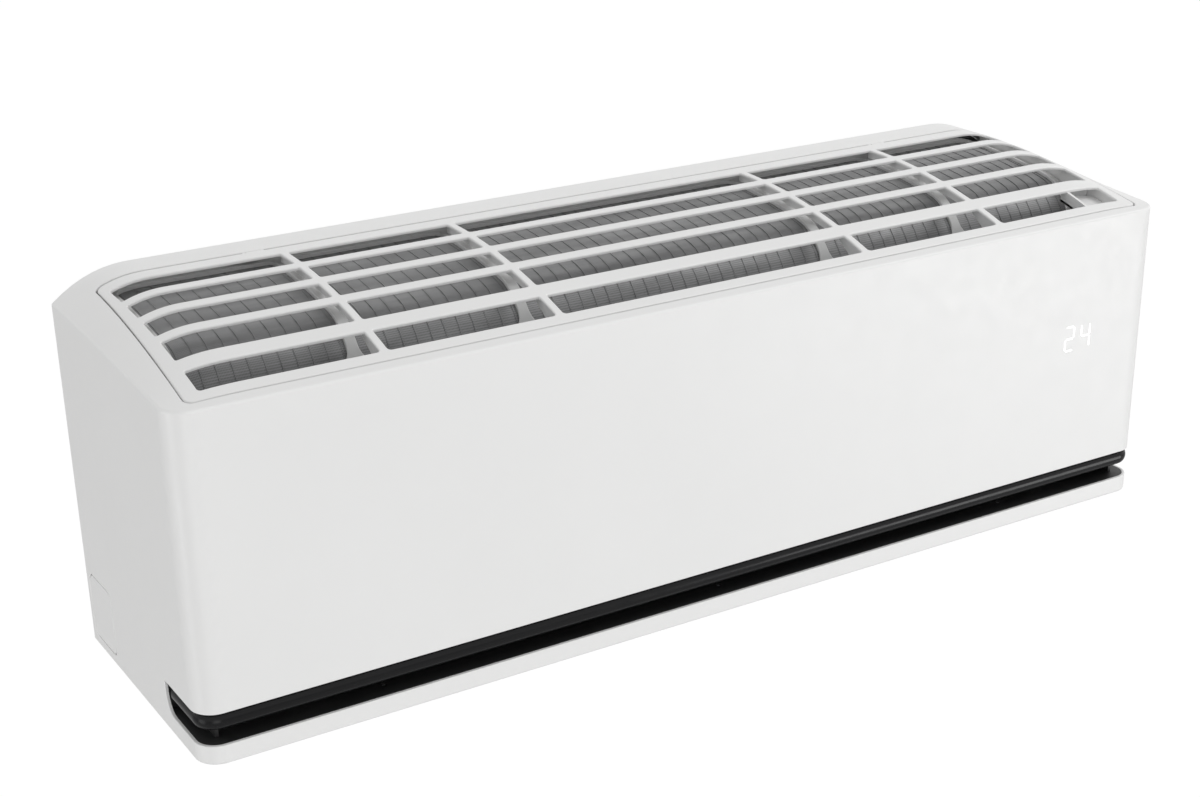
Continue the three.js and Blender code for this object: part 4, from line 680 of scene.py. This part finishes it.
WHITE = surface("white_shell", (0.8, 0.8, 0.795), 0.4, grain_strength=0.05, mottle=0.006)
FILTER_WHITE = surface("filter_white", (0.66, 0.66, 0.655), 0.5, mottle=0.01)
BLACK = surface("duct_black", (0.012, 0.012, 0.0124), 0.5, grain_strength=0.12, mottle=0.2, wear=0.01)
VANE = surface("vane_dark", (0.01, 0.0101, 0.0107), 0.2, grain_strength=0.03, mottle=0.06,
               Specular_IOR_Level=0.16)
STEEL = surface("sheet_steel", (0.5, 0.51, 0.52), 0.36, 0.9, 260, 0.1, 0.1, 0.25, (1, 1, 6))
GREY = surface("chassis_grey", (0.32, 0.33, 0.34), 0.5, mottle=0.05, wear=0.08)
COPPER = surface("coil_tube", (0.55, 0.2, 0.09), 0.3, 0.9, 500, 0.1, 0.15, 0.2)
BRASS = surface("flare_brass", (0.55, 0.37, 0.12), 0.28, 0.9, 700, 0.1, 0.1, 0.25, (8, 1, 1))
RUBBER = surface("bush_rubber", (0.014, 0.014, 0.014), 0.75, grain_strength=0.2, mottle=0.2)
FAN = surface("fan_plastic", (0.02, 0.021, 0.024), 0.45, mottle=0.12, wear=0.04)
LENS = surface("display_lens", (0.85, 0.88, 0.9), 0.2, mottle=0.02, Subsurface_Weight=0.2)
NET, FOAM, BOARD, FINS, LIT = (
    net_material(), foam_material(), board_material(), fins_material(), lit_material(),
)

BY_SLOT = {
    "white_shell": WHITE, "filter_net": NET, "duct_black": BLACK, "vane_dark": VANE, "sheet_steel": STEEL,
    "chassis_grey": GREY, "coil_fins": FINS, "coil_tube": COPPER, "pipe_foam": FOAM, "flare_brass": BRASS,
    "bush_rubber": RUBBER, "fan_plastic": FAN, "board_green": BOARD, "display_lens": LENS,
}


# ---------------------------------------------------------------- casing
def seam_outline(margin, rear):
    front = SEAM_FRONT_DEPTH + margin
    half_rear, half_front = SEAM_HALF_REAR + margin, SEAM_HALF_FRONT + margin
    corners = [(-half_rear, rear), (half_rear, rear), (half_front, front), (-half_front, front)]
    return dense(rounded(corners, SEAM_CORNER), 8)


def slot_outline():
    """The slot in the unrolled wall, from tip to tip."""
    rear, radius = SLOT_REAR_DEPTH, SLOT_REAR_RADIUS
    tip = [(rear + 1.6, SLOT_HIGH_Z), (rear + 0.4, SLOT_HIGH_Z - 0.5), (rear, SLOT_HIGH_Z - 1.8)]
    for k in range(11):
        t = k / 10
        depth = rear * (1 - t) ** 2 + (rear + 2) * 2 * t * (1 - t) + (rear + radius) * t**2
        z = (SLOT_LOW_Z + radius) * (1 - t) ** 2 + SLOT_LOW_Z * (2 * t * (1 - t) + t**2)
        tip.append((depth, z))
    start, end = tip[-1][0], OUTLINE_RUN - tip[-1][0]
    low = [(run, SLOT_LOW_Z) for run in outline_runs(start, end)[1:-1]]
    far = [(OUTLINE_RUN - run, z) for run, z in reversed(tip)]
    top_start = tip[0][0]
    high = [(run, SLOT_HIGH_Z) for run in outline_runs(top_start, OUTLINE_RUN - top_start)[1:-1]]
    return tip + low + far + high[::-1]


def knockout_outline(margin, side):
    rear, front, low, high, radius = KNOCKOUT
    corners = rectangle(rear - margin, front + margin, low - margin, high + margin)
    outline = dense(rounded(corners, radius), 4)
    return outline if side > 0 else [(OUTLINE_RUN - run, z) for run, z in outline]


def casing():
    """The white shell: walls, top border and underside as sheets, joined by rounded edges."""
    skin = Skin()
    runs = outline_runs()
    edges = []  # wall height where the upper fillet starts, and the plan point where it ends
    rows = [[] for _ in range(7)]
    for run in runs:
        (x, depth), (nx, nd) = outline_at(run)
        fall = edge_fall(run)
        turn_end = math.pi / 2 - fall
        start_z = top_at(x, depth) - TOP_FILLET * math.tan(turn_end / 2)
        inset = TOP_FILLET * (1 - math.sin(fall))
        inner = (x - nx * inset, depth - nd * inset)
        edges.append((start_z, inner))
        point, normal, *_ = on_top()(inner[0], inner[1], 0)
        out = Vector((nx, nd, 0))
        upper = (normal - out * normal.dot(out)).normalized()
        for k, row in enumerate(rows):
            turn = turn_end * k / (len(rows) - 1)
            place = Vector((x, depth, start_z)) + out * TOP_FILLET * (math.cos(turn) - 1)
            place.z += TOP_FILLET * math.sin(turn)
            if k == len(rows) - 1:
                place = point
            row.append((place, out * math.cos(turn) + upper * math.sin(turn)))
    skin.rows(rows)
    low_rows = []
    for k in range(6):
        turn = math.pi / 2 * k / 5
        row = []
        for run in runs:
            up, inward = LOW_FILLET * (1 - math.sin(turn)), LOW_FILLET * (1 - math.cos(turn))
            point, normal, *_ = on_wall(run, up, inward)
            row.append((point, normal * math.cos(turn) - Vector((0, 0, 1)) * math.sin(turn)))
        low_rows.append(row)
    skin.rows(low_rows)

    # walls, unrolled: the slot and the two knock-outs are holes in them
    upper = [(run, start_z) for run, (start_z, _) in zip(runs, edges)]
    rear_right = dense([(0, LOW_FILLET), (0, upper[0][1])], 12, closed=False)
    rear_left = [(OUTLINE_RUN, z) for _, z in rear_right]
    walls = [*[(run, LOW_FILLET) for run in runs], *rear_left[1:-1], *reversed(upper),
             *reversed(rear_right[1:-1])]
    holes = [slot_outline(), knockout_outline(0, 1), knockout_outline(0, -1)]
    sheet(skin, on_wall, walls, holes, RIM, WALL, 9, False,
          [(rear_right, (0, -1, 0)), (rear_left, (0, -1, 0))])

    # top border round the grille's seam
    plan = [inner for _, inner in edges]
    rear = dense([plan[-1], plan[0]], 8, closed=False)
    sheet(skin, on_top(), [*plan, *rear[1:-1]], [seam_outline(0, SEAM_REAR_DEPTH)], RIM, WALL, 8, False,
          [(rear, (0, -1, 0))])

    # underside
    low_plan = [tuple(on_wall(run, 0, LOW_FILLET)[0].xy) for run in runs]
    low_rear = dense([low_plan[-1], low_plan[0]], 25, closed=False)
    opening_rear, opening_front, opening_half = LOWER_OPENING
    opening = rounded(rectangle(-opening_half, opening_half, opening_rear, opening_front), 2, 0.5)
    holes = [dense(opening, 20), disc(*BUTTON), *[disc(*screw) for screw in SCREWS]]
    sheet(skin, on_bottom, [*low_plan, *low_rear[1:-1]], holes, 0.5, WALL, 22, False,
          [(low_rear, (0, -1, 0))])

    # inside: the chin's rear wall, its screw bosses and the lip that carries the grille
    block(skin, -CHEEK_X, CHEEK_X, CHIN_REAR_DEPTH, CHIN_REAR_DEPTH + WALL, 1, DUCT_FLOOR_Z - 0.3)
    for x, depth, radius in SCREWS:
        prism(skin, disc(x, depth, SCREW_BOSS_RADIUS, 24), "z", WALL, DUCT_FLOOR_Z - 0.3)
    layer(skin, -SEAM_HALF_REAR + 10, SEAM_HALF_REAR - 10, SEAM_FRONT_DEPTH - LEDGE_REACH, DEPTH - WALL,
          LEDGE_DROP, LEDGE_DROP + WALL)
    for middle in (-HINGE_X, HINGE_X):
        for side in (-1, 1):
            x0, x1 = sorted(middle + side * (KNUCKLE_LENGTH / 2 + 0.3 + reach) for reach in (0, WALL))
            block(skin, x0, x1, HINGE_DEPTH - 4, HINGE_DEPTH + 1, HINGE_Z - 1.5, HINGE_Z + 1.2)
    piece("casing", skin, WHITE, "unit", ["front_case"])


def knockouts():
    for side, name in ((1, "right"), (-1, "left")):
        skin = Skin()
        place = lambda run, z, inward: on_wall(run, z, inward + 0.2)
        sheet(skin, place, knockout_outline(-0.8, side), (), 0.5, WALL - 0.4, 9)
        inner = HALF - WALL
        rear, front, low, high, _ = KNOCKOUT
        middle = (rear + front) / 2
        for edge, inward in ((low, 1), (high, -1)):
            x0, x1 = sorted((side * (inner - 2), side * (inner - 0.3)))
            z0, z1 = sorted((edge - inward * 2, edge + inward * 2.5))
            block(skin, x0, x1, middle - 6, middle + 6, z0, z1, 0.2)
        piece(f"knockout_cover_{name}", skin, WHITE, "unit", [f"knockout_{name}"])


def lit_number():
    """A plain 24 in thin strokes, shining through the front panel."""
    left, foot, tall = DIGITS
    stroke, proud = 1.35, 0.05
    skin = Skin()
    segments = {  # ends in units of the glyph's width and half height
        "top": ((0, 2), (1, 2)), "upper_left": ((0, 1), (0, 2)), "upper_right": ((1, 1), (1, 2)),
        "middle": ((0, 1), (1, 1)), "lower_left": ((0, 0), (0, 1)), "lower_right": ((1, 0), (1, 1)),
        "foot": ((0, 0), (1, 0)),
    }
    digits = (
        ("top", "upper_right", "middle", "lower_left", "foot"),
        ("upper_left", "upper_right", "middle", "lower_right"),
    )
    wide, pitch = 12.4, 18.4
    for place, names in enumerate(digits):
        x0, z0 = left + pitch * place + stroke, foot + stroke
        for name in names:
            (a, b), (c, d) = segments[name]
            ax, cx = sorted((x0 + a * (wide - 2 * stroke), x0 + c * (wide - 2 * stroke)))
            bz, dz = sorted((z0 + b * (tall / 2 - stroke), z0 + d * (tall / 2 - stroke)))
            if ax == cx:
                box = (ax - stroke / 2, ax + stroke / 2, bz + 0.9, dz - 0.9)
            else:
                box = (ax + 0.9, cx - 0.9, bz - stroke / 2, bz + stroke / 2)
            outline = rounded(rectangle(*box), stroke * 0.45, 0.3)
            prism(skin, outline, "d", DEPTH - 0.3, DEPTH + proud, 0.02)
    piece("lit_number", skin, LIT, "unit")


# ---------------------------------------------------------------- grille and filter
def windows():
    rows, start = [], INTAKE_REAR_DEPTH
    for middle, width in BARS:
        rows.append((start, middle - width / 2))
        start = middle + width / 2
    rows.append((start, INTAKE_FRONT_DEPTH))
    edges = [-INTAKE_HALF, *CROSS_RIBS, INTAKE_HALF]
    half = CROSS_RIB_WIDTH / 2
    for k in range(len(edges) - 1):
        x0 = edges[k] + (half if k else 0)
        x1 = edges[k + 1] - (half if k + 2 < len(edges) else 0)
        for depth0, depth1 in rows:
            last = depth1 == INTAKE_FRONT_DEPTH
            front = FRONT_CORNER if last else WINDOW_CORNER
            corners = rectangle(x0, x1, depth0, depth1)
            yield dense(rounded(corners, [WINDOW_CORNER, WINDOW_CORNER, front, front], 0.8), 6)


def grille():
    skin = Skin()
    front_bar, joined = BARS[-1][0], GRILLE_SKIN - 0.6
    outer = seam_outline(-SEAM_GAP, GRILLE_REAR_DEPTH)
    sheet(skin, on_top(), outer, list(windows()), GRILLE_RIM, GRILLE_SKIN, 7)
    for x in CROSS_RIBS:
        layer(skin, x - RIB_WEB / 2, x + RIB_WEB / 2, INTAKE_REAR_DEPTH - 4, front_bar, joined,
              RIB_WEB_DROP)
        deeper = lambda depth: RIB_WEB_DROP + (RIB_WEB_FRONT_DROP - RIB_WEB_DROP) * min(
            1, max(0, depth - front_bar) / RIB_WEB_RUN)
        layer(skin, x - RIB_WEB / 2, x + RIB_WEB / 2, front_bar, INTAKE_FRONT_DEPTH + 3, joined, deeper, 3)
    for x in (-HINGE_X, HINGE_X):
        half = KNUCKLE_LENGTH / 2
        prism(skin, disc(HINGE_DEPTH, HINGE_Z, KNUCKLE_RADIUS, 24), "x", x - half, x + half, 0.2)
        block(skin, x - half, x + half, HINGE_DEPTH, HINGE_DEPTH + 2, HINGE_Z - KNUCKLE_RADIUS,
              HINGE_Z + 1.4, 0.1)
    # clips that hold the filter
    under = lambda depth: filter_drop(depth) + FILTER_FRAME + FILTER_NET + 2 * CLIP_GAP
    under_lip = lambda depth: under(depth) + CLIP_LIP
    for d0, d1 in CLIPS:
        for end, side in ((FILTER_LEFT, -1), (FILTER_RIGHT, 1)):
            x0, x1 = sorted((end + side * CLIP_GAP, end + side * (CLIP_GAP + CLIP_WALL)))
            layer(skin, x0, x1, d0, d1, GRILLE_SKIN - 1, under_lip)
            x0, x1 = sorted((end - side * 6, end + side * (CLIP_GAP + 1)))
            layer(skin, x0, x1, d0, d1, under, under_lip)
    # inner lips at the intake's ends, the rail along the middle of its front, and the pocket
    near, far = (INTAKE_HALF + reach for reach in END_LIP)
    for x0, x1 in ((-far, -near), (near, far)):
        layer(skin, x0, x1, INTAKE_REAR_DEPTH - 12, INTAKE_FRONT_DEPTH + 2, joined,
              lambda depth: min(END_LIP_DROP, filter_drop(depth) + 2))
    layer(skin, CROSS_RIBS[1] + 2, CROSS_RIBS[2] - 2, INTAKE_FRONT_DEPTH - 7, INTAKE_FRONT_DEPTH + 1,
          6.5, RIB_WEB_DROP)
    floor = POCKET_DROP + POCKET_FLOOR
    layer(skin, POCKET_LEFT, INTAKE_HALF + 2, front_bar, INTAKE_FRONT_DEPTH + 2, POCKET_DROP, floor)
    layer(skin, POCKET_LEFT, POCKET_LEFT + WALL, front_bar, INTAKE_FRONT_DEPTH + 2, 2, floor)
    piece("intake_grille", skin, WHITE, "grille", ["top_grille"])


def filter_pieces():
    place = on_top(filter_drop)
    edges = [FILTER_LEFT + FILTER_BORDER - FILTER_STRUT / 2, *CROSS_RIBS,
             FILTER_RIGHT - FILTER_BORDER + FILTER_STRUT / 2]
    half = FILTER_STRUT / 2
    d0, d1 = FILTER_REAR_DEPTH + FILTER_BORDER, FILTER_FRONT_DEPTH - FILTER_BORDER
    panels = [dense(rounded(rectangle(a + half, b - half, d0, d1), FILTER_PANEL_CORNER), 6)
              for a, b in zip(edges, edges[1:])]
    outer = rectangle(FILTER_LEFT, FILTER_RIGHT, FILTER_REAR_DEPTH, FILTER_FRONT_DEPTH)
    skin = Skin()
    sheet(skin, place, dense(rounded(outer, 6), 6), panels, 0.9, FILTER_FRAME, 7)
    piece("filter_struts", skin, FILTER_WHITE, "grille", ["filter_frame"])

    skin = Skin()
    upper = FILTER_FRAME + 0.3
    sheet(skin, on_top(lambda depth: filter_drop(depth) + upper), dense(rounded(outer, 6), 8), (), 0.3,
          FILTER_NET, 9)
    x = FILTER_LEFT + 12
    while x < FILTER_RIGHT - 8:
        layer(skin, x - FOLD_WIDTH / 2, x + FOLD_WIDTH / 2, FILTER_REAR_DEPTH + 4, FILTER_FRONT_DEPTH - 4,
              lambda depth: filter_drop(depth) + upper - FOLD_HEIGHT,
              lambda depth: filter_drop(depth) + upper)
        x += FOLD_PITCH
    piece("filter_mesh", skin, NET, "grille", ["filter_net"])


# ---------------------------------------------------------------- outlet
def vane():
    skin = Skin()
    middle, half = (VANE_LOW_Z + VANE_HIGH_Z) / 2, (VANE_HIGH_Z - VANE_LOW_Z) / 2
    face = []  # inward, z and the normal across the band
    for k in range(25):
        turn = -math.pi / 2 + math.pi * k / 24
        slope = Vector((-half * math.cos(turn), VANE_BULGE * math.sin(turn))).normalized()
        face.append((VANE_BULGE * (1 - math.cos(turn)), middle + half * math.sin(turn), slope))
    back = [(VANE_THICKNESS, VANE_HIGH_Z, Vector((1, 0))), (VANE_THICKNESS, VANE_LOW_Z, Vector((1, 0)))]
    lids = [[(face[-1][0], VANE_HIGH_Z, Vector((0, 1))), (VANE_THICKNESS, VANE_HIGH_Z, Vector((0, 1)))],
            [(face[0][0], VANE_LOW_Z, Vector((0, -1))), (VANE_THICKNESS, VANE_LOW_Z, Vector((0, -1)))]]
    runs = outline_runs(VANE_REAR_DEPTH, OUTLINE_RUN - VANE_REAR_DEPTH)
    for strip in (face, back, *lids):
        rows = []
        for run in runs:
            point, normal, *_ = on_wall(run, 0, VANE_INSET)
            rows.append([(Vector((point.x, point.y, z)) - normal * inward,
                          -normal * across.x + Vector((0, 0, across.y))) for inward, z, across in strip])
        skin.rows(rows)
    for run in (runs[0], runs[-1]):
        point, normal, *_ = on_wall(run, 0, VANE_INSET)
        cap = [Vector((point.x, point.y, z)) - normal * inward for inward, z, _ in [*face, *back]]
        skin.patch(cap, [Vector((0, -1, 0))] * len(cap), [list(range(len(cap)))])
    rear = DEPTH - VANE_INSET - VANE_THICKNESS + 0.6
    pivot_depth, pivot_z = VANE_PIVOT
    arm = [(pivot_depth - 3, pivot_z - 4), (pivot_depth + 30, VANE_LOW_Z + 5), (rear, VANE_LOW_Z + 2),
           (rear, VANE_HIGH_Z - 1), (pivot_depth + 3, pivot_z + 4), (pivot_depth - 3, pivot_z + 4)]
    for x in VANE_ARMS:
        prism(skin, arm, "x", x - 1.5, x + 1.5, 0.4)
        prism(skin, disc(pivot_depth, pivot_z, 2, 20), "x", x + 1.3, x + 5.5, 0.3)
    piece("outlet_vane", skin, VANE, "upper_vane", ["upper_vane"])


# ---------------------------------------------------------------- coil, pipes
def fin_stacks():
    """Thin fins with the section of each coil block."""
    pitch, thick = 2.2, 0.5
    for node in ("coil_rear", "coil_front_upper", "coil_front_lower"):
        low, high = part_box(node)
        vertices = bpy.data.objects[node].data.vertices
        points = [Vector((-v.co.y * 1000, v.co.z * 1000 + BASE_Z)) for v in vertices]
        outline = [tuple(points[k]) for k in convex_hull_2d(points)]
        skin = Skin()
        start, end = low.x * 1000, high.x * 1000
        count = int((end - start - thick) / pitch)
        for k in range(count + 1):
            x = start + (end - start - thick) * k / count
            prism(skin, outline, "x", x, x + thick, 0.08)
        piece(f"{node}_fins", skin, FINS, "unit", [node])


def pipes():
    gas = [(335.1, 50, 186), (350, 50, 186), (361, 48, 176), (364, 42, 150), (364, 38, 110),
           (363, 37, 66), (352, 36, 44), (322, 34, 34), (250, 32, 33), (100, 32, 33), (-60, 32, 33)]
    liquid = [(335.1, 64, 203), (352, 64, 203), (374, 60, 198), (386, 44, 176), (387, 30, 140),
              (386, 22, 100), (381, 20, 74), (362, 20, 62), (320, 20, 61), (100, 20, 60), (-30, 20, 60)]
    hose = [(-343.3, 200, 86), (-366, 200, 86), (-392, 198, 84), (-402, 184, 76), (-402, 150, 62),
            (-402, 90, 48), (-401, 55, 38), (-392, 34, 28), (-365, 29, 22), (-250, 29, 18), (-150, 29, 16)]
    for name, route, radius in (("gas_pipe", gas, 8), ("liquid_pipe", liquid, 6)):
        skin = Skin()
        sweep(skin, smooth_route(route, 16), lambda run: radius - 0.25 + 0.2 * math.sin(run / 40))
        piece(f"{name}_sleeve", skin, FOAM, "unit", [name])
    skin = Skin()
    ribs = lambda run: 6.9 + 0.6 * math.sin(2 * math.pi * run / 6)
    sweep(skin, smooth_route(hose, 60), ribs)
    piece("ribbed_hose", skin, GREY, "unit", ["drain_hose"])


# ---------------------------------------------------------------- carried-over pieces
def soft_edges():
    """Joins the corners of a carried-over mesh and keeps only its true edges sharp."""
    tree = bpy.data.node_groups.new("soft_edges", "GeometryNodeTree")
    tree.interface.new_socket("Geometry", in_out="INPUT", socket_type="NodeSocketGeometry")
    tree.interface.new_socket("Geometry", in_out="OUTPUT", socket_type="NodeSocketGeometry")
    start, end = tree.nodes.new("NodeGroupInput"), tree.nodes.new("NodeGroupOutput")
    merge = tree.nodes.new("GeometryNodeMergeByDistance")
    merge.inputs["Distance"].default_value = 2e-6
    angle = tree.nodes.new("GeometryNodeInputMeshEdgeAngle")
    sharp = tree.nodes.new("FunctionNodeCompare")
    sharp.inputs[1].default_value = math.radians(34)
    normal = tree.nodes.new("GeometryNodeSetMeshNormal")
    normal.mode = "SHARPNESS"
    normal.inputs["Remove Custom"].default_value = True
    tree.links.new(start.outputs[0], merge.inputs["Geometry"])
    tree.links.new(merge.outputs[0], normal.inputs["Mesh"])
    tree.links.new(angle.outputs["Unsigned Angle"], sharp.inputs[0])
    tree.links.new(sharp.outputs[0], normal.inputs["Edge Sharpness"])
    tree.links.new(normal.outputs[0], end.inputs[0])
    return tree


def dress_nodes():
    group = soft_edges()
    slots = {part["node"]: part["material_slot"] for part in frame["record"]["subparts"]}
    for name, slot in slots.items():
        obj = bpy.data.objects[name]
        material = BY_SLOT[slot]
        if obj.material_slots:
            for holder in obj.material_slots:
                holder.link = "OBJECT"
                holder.material = material
        else:
            obj.data.materials.append(material)
        modifier = obj.modifiers.new("soft_edges", "NODES")
        modifier.node_group = group


# ---------------------------------------------------------------- studio
def camera():
    azimuth, elevation, roll = (math.radians(angle) for angle in (-31.41, 23.07, -0.94))
    back = Vector((math.sin(azimuth) * math.cos(elevation), -math.cos(azimuth) * math.cos(elevation),
                   math.sin(elevation)))
    level = (-back).cross(Vector((0, 0, 1))).normalized()
    upright = level.cross(-back)
    right = level * math.cos(roll) + upright * math.sin(roll)
    up = -level * math.sin(roll) + upright * math.cos(roll)
    data = bpy.data.cameras.new("view")
    data.sensor_width = 36
    data.lens = 58.62
    data.shift_y = 0.068
    data.clip_end = 200
    obj = bpy.data.objects.new("view", data)
    matrix = Matrix((right, up, back)).transposed().to_4x4()
    matrix.translation = (-0.821, -1.380, 0.559)
    obj.matrix_world = matrix
    bpy.context.scene.collection.objects.link(obj)
    bpy.context.scene.camera = obj


def lamp(name, place, target, size, power):
    data = bpy.data.lights.new(name, "AREA")
    data.shape = "DISK"
    data.size = size
    data.energy = power
    obj = bpy.data.objects.new(name, data)
    aim = Vector(target) - Vector(place)
    obj.location = place
    obj.rotation_euler = aim.to_track_quat("-Z", "Y").to_euler()
    bpy.context.scene.collection.objects.link(obj)


def studio():
    bpy.context.scene.view_settings.view_transform = "Standard"
    world = bpy.data.worlds.new("studio")
    bpy.context.scene.world = world
    world.use_nodes = True
    tree = world.node_tree
    background = tree.nodes["Background"]
    path = tree.nodes.new("ShaderNodeLightPath")
    seen = path.outputs["Is Camera Ray"]
    for name in ("Is Glossy Ray", "Is Transmission Ray"):
        either = tree.nodes.new("ShaderNodeMath")
        either.operation = "MAXIMUM"
        tree.links.new(seen, either.inputs[0])
        tree.links.new(path.outputs[name], either.inputs[1])
        seen = either.outputs[0]
    mix = tree.nodes.new("ShaderNodeMix")
    mix.data_type = "RGBA"
    mix.inputs[6].default_value = (0.7, 0.7, 0.7, 1)
    mix.inputs[7].default_value = (1, 1, 1, 1)
    tree.links.new(seen, mix.inputs[0])
    tree.links.new(mix.outputs[2], background.inputs["Color"])

    mesh = bpy.data.meshes.new("floor")
    reach, level = 60, -1.6
    corners = [(-reach, -reach, level), (reach, -reach, level), (reach, reach, level), (-reach, reach, level)]
    mesh.from_pydata(corners, [], [(0, 1, 2, 3)])
    floor = bpy.data.objects.new("floor", mesh)
    bpy.context.scene.collection.objects.link(floor)
    nodes = Nodes("pale_floor")
    nodes.link(nodes.mix(nodes.noise(3), (0.62, 0.62, 0.62, 1), (0.64, 0.64, 0.64, 1)), "Base Color")
    nodes.shader.inputs["Roughness"].default_value = 0.9
    glow = nodes.new("ShaderNodeEmission", {"Color": (1, 1, 1, 1), "Strength": 1.14})
    camera_ray = nodes.new("ShaderNodeLightPath").outputs["Is Camera Ray"]
    share = nodes.new("ShaderNodeMath", {0: camera_ray, 1: 0.8}, operation="MULTIPLY").outputs[0]
    both = nodes.new("ShaderNodeMixShader", {0: share})
    nodes.tree.links.new(nodes.shader.outputs[0], both.inputs[1])
    nodes.tree.links.new(glow.outputs[0], both.inputs[2])
    nodes.tree.links.new(both.outputs[0], nodes.tree.nodes["Material Output"].inputs["Surface"])
    mesh.materials.append(nodes.material)
    lamp("key", (3.4, -3.6, -0.95), (0.0, -0.2, 0.0), 2.0, 60)
    lamp("fill", (-1.5, -4.0, -0.8), (0.0, -0.2, 0.0), 2.4, 29)
    lamp("top", (2.2, -0.7, 2.4), (0.1, -0.1, 0.1), 1.8, 27)
    lamp("side", (-3.4, -0.5, -0.7), (-0.4, -0.1, 0.0), 1.8, 16)


camera()
studio()
dress_nodes()
casing()
knockouts()
lit_number()
grille()
filter_pieces()
vane()
fin_stacks()
pipes()
